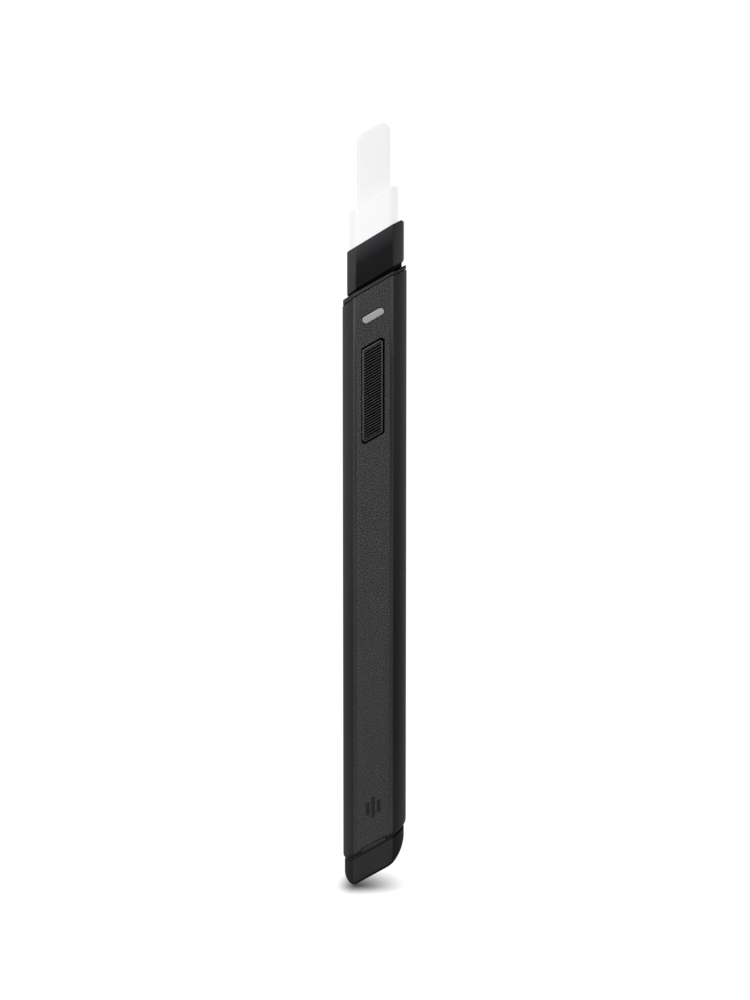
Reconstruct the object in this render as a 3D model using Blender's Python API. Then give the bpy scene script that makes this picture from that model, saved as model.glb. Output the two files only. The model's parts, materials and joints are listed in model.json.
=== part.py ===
"""Pen-shaped electric tool with a slanted flat ceramic blade, built from separate pieces.

Frame: metres, +Z up along the barrel with the blade at the top, the flat control face towards -Y,
origin on the barrel's axis at the level of the lowest point of the end cap. Left is -X.
Sizes are in millimetres and are scaled to metres as each mesh or curve is made.
"""

import math
from functools import partial

import bmesh
import bpy

MM = 0.001

# ---------------------------------------------------------------- driving dimensions
# Every cut across the barrel leans, rising towards +X. Heights of leaning planes are on the axis.
LEAN = math.radians(30.0)
SLANT = math.tan(LEAN)
SIDES = (("left", -1), ("right", 1))

# A barrel section is (half width, half depth, half width of its flat front and back).
SLEEVE_HALF_DEPTH = 5.40
SLEEVE_FRONT = -SLEEVE_HALF_DEPTH
SLEEVE_HALF = (6.38, SLEEVE_HALF_DEPTH, 3.92)
SLEEVE_WALL = 1.10
CREASE_ROUND, CREASE_LEAST = 0.28, 0.08   # radius where the flats meet the curved sides
SLEEVE_BOTTOM, SLEEVE_TOP = 8.25, 120.7
PAST_BOTTOM, PAST_TOP = -4.0, 132.0       # cutters through the whole sleeve run between these

EDGE_DEPTH, EDGE_HEIGHT = 0.52, 0.85
# The lower edge turns in: (rise above the bottom, inset)
LOWER_EDGE = [(0, EDGE_DEPTH), (0.28 * EDGE_HEIGHT, 0.45 * EDGE_DEPTH), (EDGE_HEIGHT, 0)]
NOTCH_SPAN, NOTCH_HEIGHT, NOTCH_FLOOR = (-2.45, 2.55), 1.05, -5.14
COVER_HALF = 3.30                         # textured strip let into the front face
COVER_GAP = 0.06

BEZEL_INSET = 0.12
BEZEL_TOP = 121.42
WELL_FLOOR = 117.4
WELL_HALF, WELL_ROUND = (4.45, 2.95), 1.0
RECEIVER_BOTTOM = 116.5

SOCKET_HALF = (5.62, 4.60, 3.65)
SOCKET_X = 0.20
SOCKET_BOTTOM, SOCKET_TOP = 122.35, 130.7
TENON_HALF, TENON_ROUND = (4.30, 2.80), 0.95
TENON_BOTTOM = 118.5
TENON_GROOVE, GROOVE_DEPTH = (119.7, 120.5), 0.42
NECK_INSET, NECK_LOW = 0.42, 121.50       # dark waist between the socket and the bezel

COLLAR_HALF = (4.85, 3.30, 3.30)
COLLAR_X = -0.20
COLLAR_BOTTOM, COLLAR_TOP = 126.3, 138.25
SEAT_GAP = 0.10

BLADE_X = -0.20
BLADE_HALF_WIDTH = 3.23
BLADE_HALF_THICK = 0.45
BLADE_SHANK_HALF = 2.40
BLADE_ROOT, BLADE_SHOULDER, BLADE_TIP = 124.7, 132.0, 152.15
BLADE_ROUND_LEFT, BLADE_ROUND_RIGHT = 2.1, 1.46   # corners of the slanted tip
SLOT_GAP = 0.07

LENS_Z = 115.1
LENS_LENGTH, LENS_WIDTH = 4.76, 1.50
LENS_PLAY = 0.1                           # window's length and width beyond the lens

BUTTON_Z = 100.3
BUTTON_HALF = (2.20, 9.36)
BUTTON_PROUD = 0.25
BUTTON_GAP = 0.18
RIB_COUNT, RIB_PITCH, RIB_HALF = 32, 0.558, 1.72
WINDOW_FRONT, WINDOW_BACK = -7, -4.0      # cutters through the front cover

PIN_X, PIN_Y = 2.20, 0.80                 # the two heater contacts

BOARD_HALF_WIDTH = 4.1
BOARD_LOW, BOARD_HIGH = 79.5, 115.8
BOARD_FRONT, BOARD_BACK = -1.9, -1.1
PART_BACK = -1.95                         # back of the parts on the board's front
SCREW_LOW, SCREW_HIGH = 82.7, 108.8
SCREW_BORE = (0.5, -2, 1.5)               # radius, front and back

FRAME_LOW, FRAME_HIGH = 20.5, 106.05
FRAME_GAP = 0.13
CELL_RADIUS, CELL_LOW, CELL_HIGH = 4.0, 25.0, 73.0
CELL_BORE = CELL_RADIUS + 0.08
CELL_SEAT = 23.6                          # step in the frame's bore below the cell

CAP_LEFT, CAP_RIGHT = -6.08, 5.82
CAP_X = (CAP_LEFT + CAP_RIGHT) / 2
CAP_HALF = ((CAP_RIGHT - CAP_LEFT) / 2, 5.00, 3.95)
CAP_TOP = 7.70
CAP_PLANE = 2.15                          # slanted underside, on the axis
CAP_R_LEFT, CAP_R_RIGHT = 1.86, 6.80      # rounds at the underside's two ends
CAP_WALL = 0.65
CAP_EDGE = 0.8
NOSE_HALF = (4.98, 3.98, 3.10)
NOSE_X = -0.12
NOSE_LOW, NOSE_HIGH = 6.35, 17.5
NOSE_GAP = 0.17
PORT_X = -0.30
PORT_HALF, PORT_ROUND = (4.47, 1.63), 1.45
PORT_GAP, PORT_WALL = 0.07, 0.3

# ---------------------------------------------------------------- clear the scene
for old in list(bpy.data.objects):
    bpy.data.objects.remove(old, do_unlink=True)


# ---------------------------------------------------------------- materials
def material(name, colour, roughness, metallic=0.0):
    made = bpy.data.materials.new(name)
    made.use_nodes = True
    shader = made.node_tree.nodes["Principled BSDF"]
    shader.inputs["Base Color"].default_value = (*colour, 1.0)
    shader.inputs["Roughness"].default_value = roughness
    shader.inputs["Metallic"].default_value = metallic
    return made


SHELL = material("shell_black", colour=(0.045, 0.045, 0.046), roughness=0.55)
COVER = material("cover_black", colour=(0.042, 0.042, 0.043), roughness=0.65)
BEZEL = material("bezel_black", colour=(0.040, 0.040, 0.041), roughness=0.45)
SOCKET = material("socket_black", colour=(0.022, 0.022, 0.025), roughness=0.32)
RIBBED = material("button_black", colour=(0.030, 0.030, 0.031), roughness=0.45)
CAP = material("cap_black", colour=(0.028, 0.028, 0.029), roughness=0.60)
CERAMIC = material("ceramic_white", colour=(0.88, 0.88, 0.88), roughness=0.30)
COLLAR = material("collar_white", colour=(0.93, 0.93, 0.93), roughness=0.40)
LENS = material("lens_grey", colour=(0.38, 0.38, 0.38), roughness=0.35)
INNER = material("inner_black", colour=(0.05, 0.05, 0.05), roughness=0.50)
BOARD = material("board_green", colour=(0.02, 0.14, 0.07), roughness=0.45)
CHIP = material("chip_black", colour=(0.02, 0.02, 0.02), roughness=0.40)
GOLD = material("contact_gold", colour=(0.83, 0.62, 0.28), roughness=0.25, metallic=1.0)
STEEL = material("steel", colour=(0.62, 0.62, 0.63), roughness=0.30, metallic=1.0)
NICKEL = material("nickel", colour=(0.70, 0.69, 0.66), roughness=0.30, metallic=1.0)
WRAP = material("cell_wrap", colour=(0.05, 0.16, 0.36), roughness=0.40)
RED = material("wire_red", colour=(0.50, 0.02, 0.02), roughness=0.45)
BLACK = material("wire_black", colour=(0.02, 0.02, 0.02), roughness=0.45)
WHITE = material("wire_white", colour=(0.80, 0.80, 0.78), roughness=0.50)
SILICONE = material("silicone_grey", colour=(0.16, 0.16, 0.17), roughness=0.65)
FOAM = material("foam_grey", colour=(0.10, 0.10, 0.11), roughness=0.90)


# ---------------------------------------------------------------- outlines
def side_arc_centre(half):
    """X of the centre of the arc that closes the right side of a barrel section."""
    half_width, half_depth, flat_half = half
    return (half_width ** 2 - flat_half ** 2 - half_depth ** 2) / (2 * (half_width - flat_half))


def barrel_outline(half, inset=0.0, middle=0.0, crease_steps=1, side_steps=4):
    """Barrel section in X and Y, counter-clockwise from the front right."""
    centre = side_arc_centre(half)
    radius, depth = half[0] - centre - inset, half[1] - inset
    crease = max(CREASE_ROUND - inset, CREASE_LEAST)
    crease_x = centre + math.sqrt((radius - crease) ** 2 - (depth - crease) ** 2)
    turn = math.atan2(depth - crease, crease_x - centre)
    quarter = []
    for i in range(crease_steps + 1):
        angle = -math.pi / 2 + (math.pi / 2 - turn) * i / crease_steps
        quarter.append((crease_x + crease * math.cos(angle),
                        -(depth - crease) + crease * math.sin(angle)))
    for i in range(1, side_steps + 1):
        angle = -turn * (1 - i / side_steps)
        quarter.append((centre + radius * math.cos(angle), radius * math.sin(angle)))
    points = list(quarter)
    points += [(x, -y) for x, y in reversed(quarter[:-1])]
    points += [(-x, -y) for x, y in quarter]
    points += [(-x, y) for x, y in reversed(quarter[:-1])]
    return [(x + middle, y) for x, y in points]


sleeve_fine = partial(barrel_outline, SLEEVE_HALF, crease_steps=2, side_steps=6)
sleeve_coarse = partial(barrel_outline, SLEEVE_HALF, crease_steps=1, side_steps=5)


def rounded_box(half_x, half_y, radius, inset=0.0, middle=(0.0, 0.0), steps=2):
    """Rectangle with round corners in X and Y."""
    half_x, half_y, radius = half_x - inset, half_y - inset, radius - inset
    points = []
    for k, (side_x, side_y) in enumerate(((1, -1), (1, 1), (-1, 1), (-1, -1))):
        for i in range(steps + 1):
            angle = -math.pi / 2 + (k + i / steps) * math.pi / 2
            points.append((middle[0] + side_x * (half_x - radius) + radius * math.cos(angle),
                           middle[1] + side_y * (half_y - radius) + radius * math.sin(angle)))
    return points


def rounded_polygon(corners, steps):
    """Polygon in X and Z with round corners; each corner is (x, z, radius)."""
    points, count = [], len(corners)
    for i, (x, z, radius) in enumerate(corners):
        before, after = corners[i - 1], corners[(i + 1) % count]
        ax, az = before[0] - x, before[1] - z
        bx, bz = after[0] - x, after[1] - z
        a_length, b_length = math.hypot(ax, az), math.hypot(bx, bz)
        ax, az, bx, bz = ax / a_length, az / a_length, bx / b_length, bz / b_length
        half_angle = math.acos(ax * bx + az * bz) / 2
        back = radius / math.tan(half_angle)
        reach = radius / math.sin(half_angle) / math.hypot(ax + bx, az + bz)
        centre_x, centre_z = x + (ax + bx) * reach, z + (az + bz) * reach
        start = math.atan2(z + az * back - centre_z, x + ax * back - centre_x)
        end = math.atan2(z + bz * back - centre_z, x + bx * back - centre_x)
        sweep = (end - start + math.pi) % (2 * math.pi) - math.pi
        for k in range(steps + 1):
            angle = start + sweep * k / steps
            points.append((centre_x + radius * math.cos(angle),
                           centre_z + radius * math.sin(angle)))
    return points


def parallelogram(half_width, low, high):
    """Upright sides and leaning ends, in X and Z."""
    rise = SLANT * half_width
    return [(-half_width, low - rise), (half_width, low + rise),
            (half_width, high + rise), (-half_width, high - rise)]


def leaning_box(half, radius, inset=0.0, height=0.0):
    """Parallelogram with round corners, in X and Z."""
    half_height = half[1] - inset / math.cos(LEAN)
    corners = [(x, z, radius - inset)
               for x, z in parallelogram(half[0] - inset, -half_height, half_height)]
    return [(x, z + height) for x, z in rounded_polygon(corners, steps=2)]


def pill(length, width, inset=0.0, height=0.0, steps=5):
    """Slot shape with round ends, lying along the slant, in X and Z."""
    radius = width / 2 - inset
    run = (length - width) / 2
    cosine, sine = math.cos(LEAN), math.sin(LEAN)
    points = []
    for side in (1, -1):
        for i in range(steps + 1):
            angle = math.pi * i / steps - math.pi / 2
            along = side * (run + radius * math.cos(angle))
            across = side * radius * math.sin(angle)
            points.append((along * cosine - across * sine,
                           height + along * sine + across * cosine))
    return points


def cap_floor(x, shell=0.0):
    """Height at x of the cap's rounded slanted underside, or of a surface `shell` inside it."""
    left, right = CAP_LEFT + shell, CAP_RIGHT - shell
    plane = CAP_PLANE + shell / math.cos(LEAN)
    radius_left, radius_right = CAP_R_LEFT - shell, CAP_R_RIGHT - shell
    x = min(max(x, left + 1e-6), right - 1e-6)
    left_x, right_x = left + radius_left, right - radius_right
    if x < left_x + 0.5 * radius_left:
        centre_z = plane + SLANT * left_x + radius_left / math.cos(LEAN)
        return centre_z - math.sqrt(radius_left ** 2 - (x - left_x) ** 2)
    if x > right_x + 0.5 * radius_right:
        centre_z = plane + SLANT * right_x + radius_right / math.cos(LEAN)
        return centre_z - math.sqrt(radius_right ** 2 - (x - right_x) ** 2)
    return plane + SLANT * x


# ---------------------------------------------------------------- solids
def link_object(name, data, mat):
    made = bpy.data.objects.new(name, data)
    bpy.context.scene.collection.objects.link(made)
    if mat:
        data.materials.append(mat)
    return made


def mesh_object(name, bm, mat=None, smooth=None):
    """Object from a bmesh; `smooth` is the angle in degrees above which edges stay sharp."""
    mesh = bpy.data.meshes.new(name)
    bm.to_mesh(mesh)
    bm.free()
    made = link_object(name, mesh, mat)
    if smooth is not None:
        mesh.shade_smooth()
        mesh.set_sharp_from_angle(angle=math.radians(smooth))
    return made


def loft(name, rings, mat=None, smooth=30):
    """Closed solid through rings of 3-D points; the first and last rings are capped."""
    bm = bmesh.new()
    rows = [[bm.verts.new((x * MM, y * MM, z * MM)) for x, y, z in ring] for ring in rings]
    count = len(rows[0])
    for low, high in zip(rows, rows[1:]):
        for i in range(count):
            j = (i + 1) % count
            bm.faces.new((low[i], low[j], high[j], high[i]))
    bm.faces.new(list(reversed(rows[0])))
    bm.faces.new(rows[-1])
    bmesh.ops.recalc_face_normals(bm, faces=bm.faces)
    return mesh_object(name, bm, mat, smooth)


def stack(name, outline, levels, mat, inset=0.0, slope=SLANT, top_slope=SLANT):
    """Rings of an outline in X and Y, from the bottom up.

    Each level is (height on the axis, inset), and `inset` is added to them all. The last ring
    leans by `top_slope` and the others by `slope`.
    """
    slopes = [slope] * (len(levels) - 1) + [top_slope]
    rings = [[(x, y, height + lean * x) for x, y in outline(inset=inset + extra)]
             for (height, extra), lean in zip(levels, slopes)]
    return loft(name, rings, mat)


def slab(name, outline, levels, mat):
    """Rings of an outline in X and Z, laid from front to back. Each level is (y, inset)."""
    return loft(name, [[(x, y, z) for x, z in outline(inset=inset)] for y, inset in levels], mat)


def slanted_bar(name, section, span, mat=None):
    """Bar along the slant between two values of x; its section is (y, height on the axis)."""
    return loft(name, [[(x, y, z + SLANT * x) for y, z in section] for x in span], mat)


def box(name, low, high, mat):
    bm = bmesh.new()
    bmesh.ops.create_cube(bm, size=1.0)
    for v in bm.verts:
        v.co = [((low[k] + high[k]) / 2 + v.co[k] * (high[k] - low[k])) * MM for k in range(3)]
    return mesh_object(name, bm, mat)


def turned(name, profile, mat=None, sides=16, at=(0, 0, 0)):
    """Turned solid about an upright axis through `at`.

    The profile is (radius, height above `at`) from the bottom centre to the top centre.
    """
    bm = bmesh.new()
    rows = []
    for radius, height in profile:
        z = (height + at[2]) * MM
        if radius == 0:
            rows.append([bm.verts.new((at[0] * MM, at[1] * MM, z))])
            continue
        angles = [2 * math.pi * i / sides for i in range(sides)]
        rows.append([bm.verts.new(((at[0] + radius * math.cos(angle)) * MM,
                                   (at[1] + radius * math.sin(angle)) * MM, z))
                     for angle in angles])
    for low, high in zip(rows, rows[1:]):
        for i in range(sides):
            j = (i + 1) % sides
            if len(low) == 1:
                bm.faces.new((low[0], high[j], high[i]))
            elif len(high) == 1:
                bm.faces.new((low[i], low[j], high[0]))
            else:
                bm.faces.new((low[i], low[j], high[j], high[i]))
    bmesh.ops.recalc_face_normals(bm, faces=bm.faces)
    return mesh_object(name, bm, mat, smooth=35)


def cylinder(radius, low, high):
    """Profile of a plain cylinder."""
    return [(0, low), (radius, low), (radius, high), (0, high)]


def rod_y(name, height, profile, mat=None, sides=16):
    """Turned solid about a front-to-back axis; profile is (radius, y) from the front centre."""
    made = turned(name, profile, mat, sides)
    for v in made.data.vertices:
        x, y, z = v.co
        v.co = (x, z, height * MM - y)
    return made


def cable(name, points, radius, mat):
    """Round wire along a smooth path of points."""
    curve = bpy.data.curves.new(name, "CURVE")
    curve.dimensions = "3D"
    curve.resolution_u = 3
    curve.bevel_depth = radius * MM
    curve.bevel_resolution = 1
    curve.use_fill_caps = True
    spline = curve.splines.new("BEZIER")
    spline.bezier_points.add(len(points) - 1)
    for knot, (x, y, z) in zip(spline.bezier_points, points):
        knot.co = (x * MM, y * MM, z * MM)
        knot.handle_left_type = knot.handle_right_type = "AUTO"
    return link_object(name, curve, mat)


def coil(name, at, radius, wire, low, high, turns, mat, per_turn=10, sides=4):
    """Helical spring about an upright axis through `at`; `wire` is the wire's radius."""
    rings, steps = [], turns * per_turn
    for i in range(steps + 1):
        angle = 2 * math.pi * i / per_turn
        z = at[2] + low + wire + (high - low - 2 * wire) * i / steps
        ring = []
        for k in range(sides):
            around = 2 * math.pi * k / sides
            reach = radius + wire * math.cos(around)
            ring.append((at[0] + reach * math.cos(angle), at[1] + reach * math.sin(angle),
                         z + wire * math.sin(around)))
        rings.append(ring)
    return loft(name, rings, mat, smooth=60)


def section_depth(half, x, inset):
    """Half depth of a barrel section at x, measured from its own middle."""
    centre = side_arc_centre(half)
    radius = half[0] - centre - inset
    return min(half[1] - inset, math.sqrt(radius ** 2 - (abs(x) - centre) ** 2))


def contoured_block(name, half, middle, low, high, mat, steps, shell=0.0, edge=0.0):
    """Barrel section lofted along X; its underside follows low(x) and its top high(x).

    `shell` insets the section and `edge` rounds the underside's front and back edges.
    """
    rings = []
    for i in range(steps + 1):
        x = -math.cos(math.pi * i / steps) * (half[0] - shell - 0.02)
        depth = section_depth(half, x, shell)
        x += middle
        bottom, top = low(x), high(x)
        if edge:
            turn = min(edge, 0.45 * depth)
            front = [(-depth + turn, bottom), (-depth + 0.29 * turn, bottom + 0.29 * turn),
                     (-depth, bottom + turn), (-depth, top)]
        else:
            front = [(-depth, bottom), (-depth, top)]
        back = [(-y, z) for y, z in reversed(front)]
        rings.append([(x, y, z) for y, z in front + back])
    return loft(name, rings, mat)


def boolean(target, tool, operation="DIFFERENCE"):
    """Adds an exact Boolean and hides the tool that makes it."""
    modifier = target.modifiers.new(operation.lower() + "_" + tool.name, "BOOLEAN")
    modifier.operation = operation
    modifier.solver = "EXACT"
    modifier.object = tool
    tool.hide_render = True
    tool.display_type = "WIRE"


def combine_tools(name, tools):
    """Several separate closed cutters as one tool mesh."""
    bm = bmesh.new()
    for tool in tools:
        bm.from_mesh(tool.data)
        bpy.data.objects.remove(tool, do_unlink=True)
    return mesh_object(name, bm)


def pin_holes(name, radius, low, high, sides=12):
    """Cutter for a hole on the axis of each heater contact."""
    return combine_tools(name, [turned("tool", cylinder(radius, low, high), sides=sides,
                                       at=(side * PIN_X, PIN_Y, 0)) for _, side in SIDES])


# ================================================================ outer sleeve
body_sleeve = stack("body_sleeve", sleeve_fine,
                    [(SLEEVE_BOTTOM + rise, inset) for rise, inset in LOWER_EDGE]
                    + [(SLEEVE_TOP - 0.12, 0), (SLEEVE_TOP, 0.10)], SHELL)
boolean(body_sleeve, stack("cut_bore", sleeve_coarse, [(PAST_BOTTOM, 0), (PAST_TOP, 0)], SHELL,
                           inset=SLEEVE_WALL, slope=0, top_slope=0))
opening_half = COVER_HALF + COVER_GAP
boolean(body_sleeve, box("cut_cover_opening", (-opening_half, -8, PAST_BOTTOM),
                         (opening_half, -3.5, PAST_TOP), SHELL))


# ================================================================ front cover
def cover_outline(inset):
    return parallelogram(COVER_HALF - inset, SLEEVE_BOTTOM + 0.02 + inset, SLEEVE_TOP - inset)


front_cover = slab("front_cover", cover_outline,
                   [(SLEEVE_FRONT, 0.06), (SLEEVE_FRONT + 0.06, 0),
                    (SLEEVE_FRONT + SLEEVE_WALL - 0.02, 0)], COVER)
button_window = (BUTTON_HALF[0] + BUTTON_GAP, BUTTON_HALF[1] + BUTTON_GAP)
for name, outline in (
        ("cut_button_window", partial(leaning_box, button_window, 0.6, height=BUTTON_Z)),
        ("cut_lens_window", partial(pill, LENS_LENGTH + LENS_PLAY, LENS_WIDTH + LENS_PLAY,
                                    height=LENS_Z))):
    boolean(front_cover, slab(name, outline, [(WINDOW_FRONT, 0), (WINDOW_BACK, 0)], COVER))

# The cover's lower edge turns in like the sleeve's, except across the notch.
edge_section = [(SLEEVE_FRONT - 0.4, SLEEVE_BOTTOM - 0.5),
                (SLEEVE_FRONT + EDGE_DEPTH, SLEEVE_BOTTOM - 0.5)]
edge_section += [(SLEEVE_FRONT + inset, SLEEVE_BOTTOM + rise) for rise, inset in LOWER_EDGE]
edge_section.append((SLEEVE_FRONT - 0.4, SLEEVE_BOTTOM + EDGE_HEIGHT))
edge_spans = ((-COVER_HALF - 0.2, NOTCH_SPAN[0] - 0.01), (NOTCH_SPAN[1] + 0.01, COVER_HALF + 0.2))
boolean(front_cover, combine_tools("cut_lower_edge", [slanted_bar("tool", edge_section, span)
                                                      for span in edge_spans]))
notch_low, notch_high = SLEEVE_BOTTOM - 0.6, SLEEVE_BOTTOM + NOTCH_HEIGHT
boolean(front_cover, slanted_bar("cut_nail_notch", [(-6.0, notch_low), (NOTCH_FLOOR, notch_low),
                                                    (NOTCH_FLOOR, notch_high), (-6.0, notch_high)],
                                 NOTCH_SPAN, COVER))

# ================================================================ receiver
# Bezel ring with the well the tip plugs into.
tip_receiver = stack("tip_receiver", sleeve_fine,
                     [(SLEEVE_TOP + 0.06, 0), (BEZEL_TOP - 0.20, 0), (BEZEL_TOP - 0.06, 0.06),
                      (BEZEL_TOP, 0.22)], BEZEL, inset=BEZEL_INSET)
boolean(tip_receiver, stack("add_receiver_body", sleeve_coarse,
                            [(RECEIVER_BOTTOM, 0.1), (RECEIVER_BOTTOM + 0.15, 0),
                             (SLEEVE_TOP + 0.6, 0)], BEZEL, inset=SLEEVE_WALL + 0.08), "UNION")
boolean(tip_receiver, stack("cut_well", partial(rounded_box, *WELL_HALF, WELL_ROUND, steps=3),
                            [(WELL_FLOOR, 0), (130, 0)], BEZEL, top_slope=0))
boolean(tip_receiver, pin_holes("cut_pin_holes", 0.62, 109.2, 125.2))

# ================================================================ tip socket
tip_socket = stack("tip_socket", partial(barrel_outline, SOCKET_HALF, middle=SOCKET_X,
                                         crease_steps=2, side_steps=5),
                   [(SOCKET_BOTTOM, 0.16), (SOCKET_BOTTOM + 0.05, 0.05), (SOCKET_BOTTOM + 0.18, 0),
                    (SOCKET_TOP - 0.2, 0), (SOCKET_TOP, 0.15)], SOCKET)
groove_low, groove_high = TENON_GROOVE
boolean(tip_socket, stack("add_tenon", partial(rounded_box, *TENON_HALF, TENON_ROUND, steps=3),
                          [(TENON_BOTTOM, 0.25), (TENON_BOTTOM + 0.25, 0),
                           (groove_low, 0), (groove_low, GROOVE_DEPTH),
                           (groove_high, GROOVE_DEPTH), (groove_high, 0),
                           (SOCKET_BOTTOM + 1.5, 0)], SOCKET), "UNION")
boolean(tip_socket, stack("add_neck", partial(barrel_outline, SOCKET_HALF, middle=SOCKET_X,
                                              crease_steps=1, side_steps=5),
                          [(NECK_LOW, 0), (SOCKET_BOTTOM + 0.9, 0)], SOCKET, inset=NECK_INSET),
        "UNION")
boolean(tip_socket, stack("cut_collar_seat", partial(barrel_outline, COLLAR_HALF, middle=COLLAR_X),
                          [(COLLAR_BOTTOM - 0.15, 0), (140, 0)], SOCKET,
                          inset=-SEAT_GAP, top_slope=0))
boolean(tip_socket, stack("cut_wire_room", partial(rounded_box, 3.2, 1.75, 0.6),
                          [(119.95, 0), (128.2, 0)], SOCKET))
boolean(tip_socket, pin_holes("cut_stud_holes", 0.74, 113.2, 122.7))

# ================================================================ heat collar
heat_collar = stack("heat_collar", partial(barrel_outline, COLLAR_HALF, middle=COLLAR_X,
                                           crease_steps=2, side_steps=5),
                    [(COLLAR_BOTTOM, 0.12), (COLLAR_BOTTOM + 0.2, 0), (130, 0),
                     (COLLAR_TOP - 0.26, 0), (COLLAR_TOP - 0.08, 0.08), (COLLAR_TOP, 0.24)], COLLAR)
slot_depth = BLADE_HALF_THICK + SLOT_GAP
# name, half width of the part inside, low and high ends
for name, half_width, low, high in (
        ("cut_blade_slot", BLADE_HALF_WIDTH, BLADE_SHOULDER - SLOT_GAP, 145),
        ("cut_shank_slot", BLADE_SHANK_HALF, 119.2, BLADE_SHOULDER)):
    slot_half = half_width + SLOT_GAP
    boolean(heat_collar, box(name, (BLADE_X - slot_half, -slot_depth, low),
                             (BLADE_X + slot_half, slot_depth, high), COLLAR))


# ================================================================ ceramic blade
def blade_outline(inset):
    left, right = BLADE_X - BLADE_HALF_WIDTH + inset, BLADE_X + BLADE_HALF_WIDTH - inset
    shank_left = BLADE_X - BLADE_SHANK_HALF + inset
    shank_right = BLADE_X + BLADE_SHANK_HALF - inset
    root, shoulder = BLADE_ROOT + inset, BLADE_SHOULDER + inset
    tip = BLADE_TIP - inset / math.cos(LEAN)
    corners = [(shank_left, root, 0.3), (shank_right, root, 0.3),
               (shank_right, shoulder, 0.2), (right, shoulder, 0.3),
               (right, tip + SLANT * right, BLADE_ROUND_RIGHT - inset),
               (left, tip + SLANT * left, BLADE_ROUND_LEFT - inset),
               (left, shoulder, 0.3), (shank_left, shoulder, 0.2)]
    return rounded_polygon(corners, steps=5)


slab("ceramic_blade", blade_outline,
     [(-BLADE_HALF_THICK, 0.22), (-BLADE_HALF_THICK + 0.18, 0.02),
      (BLADE_HALF_THICK - 0.18, 0.02), (BLADE_HALF_THICK, 0.22)], CERAMIC)

# ================================================================ seal ring in the tenon's groove
ring_outline = partial(rounded_box, *TENON_HALF, TENON_ROUND, steps=4)
seal_ring = stack("tip_seal_ring", ring_outline,
                  [(119.75, 0), (119.9, -0.09), (120.3, -0.09), (120.45, 0)], SILICONE)
boolean(seal_ring, stack("cut_ring_bore", ring_outline, [(117.2, 0), (123.2, 0)], SILICONE,
                         inset=0.36))

# ================================================================ contact block inside the barrel
contact_block = stack("contact_block", partial(rounded_box, 3.9, 2.0, 0.5, middle=(0, 1.3)),
                      [(106.2, 0), (116, 0)], INNER, slope=0)
boolean(contact_block, pin_holes("cut_barrel_holes", 0.87, 100, 123.2, sides=16))
boolean(contact_block, rod_y("cut_block_screw_hole", SCREW_HIGH, cylinder(*SCREW_BORE), INNER, 12))

# ================================================================ studs, spring contacts, leads
# Turned profiles: (radius, height before the slant's lift)
STUD = [(0, 118.05), (0.55, 118.05), (0.68, 118.18), (0.68, 120.6), (0.45, 120.7), (0, 120.7)]
CONTACT_BARREL = [(0, 105.9), (0.3, 105.9), (0.3, 107.5), (0.8, 107.5), (0.8, 115.65),
                  (0.50, 115.65), (0.50, 115.1), (0.58, 115.1), (0.58, 108.2), (0, 108.2)]
PLUNGER = [(0, 112.1), (0.52, 112.1), (0.52, 112.8), (0.42, 112.9),
           (0.42, 117.55), (0.32, 117.82), (0, 118)]
for word, side in SIDES:
    pin_x = side * PIN_X
    lift = SLANT * pin_x
    pin = (pin_x, PIN_Y, lift)
    turned(f"tip_stud_{word}", STUD, GOLD, 14, pin)
    turned(f"contact_barrel_{word}", CONTACT_BARREL, GOLD, 16, pin)
    turned(f"contact_plunger_{word}", PLUNGER, GOLD, 14, pin)
    coil(f"contact_spring_{word}", pin, radius=0.40, wire=0.075, low=108.26, high=112.04,
         turns=7, mat=STEEL)
    end_x = side * 1.5 + BLADE_X
    end_lift = SLANT * end_x
    cable(f"blade_lead_{word}",
          [(pin_x, PIN_Y, 120.8 + lift), (pin_x, PIN_Y + 0.05, 122.4 + lift),
           (end_x, 0.92, 124.2 + end_lift), (end_x, 0.92, 125.9 + end_lift)], 0.28, NICKEL)
    cable(f"heater_lead_{word}",
          [(pin_x, PIN_Y, 105.75 + lift), (pin_x, PIN_Y, 104.6 + lift * 0.6),
           (side * 1.5, -0.2, 103.4), (side * 1.5, -0.62, 102.4)], 0.32, WHITE)

# ================================================================ light window
slab("led_lens", partial(pill, LENS_LENGTH, LENS_WIDTH, height=LENS_Z),
     [(-5.38, 0.08), (-5.30, 0), (-4.22, 0), (-4.22, -0.42),
      (-3.80, -0.42), (-3.80, 0.15), (-2.85, 0.15)], LENS)

# ================================================================ ribbed push button
button_front = SLEEVE_FRONT - BUTTON_PROUD
power_button = slab("power_button", partial(leaning_box, BUTTON_HALF, 0.5, height=BUTTON_Z),
                    [(button_front, 0.12), (button_front + 0.12, 0), (-4.2, 0),
                     (-4.2, -0.5), (-3.8, -0.5)], RIBBED)
grooves = []
for k in range(RIB_COUNT):
    middle_z = BUTTON_Z + (k - (RIB_COUNT - 1) / 2) * RIB_PITCH
    section = [(button_front - 0.1, middle_z - 0.19), (button_front - 0.1, middle_z + 0.19),
               (button_front + 0.24, middle_z + 0.05), (button_front + 0.24, middle_z - 0.05)]
    grooves.append(slanted_bar("tool", section, (-RIB_HALF, RIB_HALF)))
boolean(power_button, combine_tools("cut_grooves", grooves))
rod_y("button_pad", BUTTON_Z, cylinder(1.2, -3.76, -3.56), SILICONE, 14)

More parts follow.
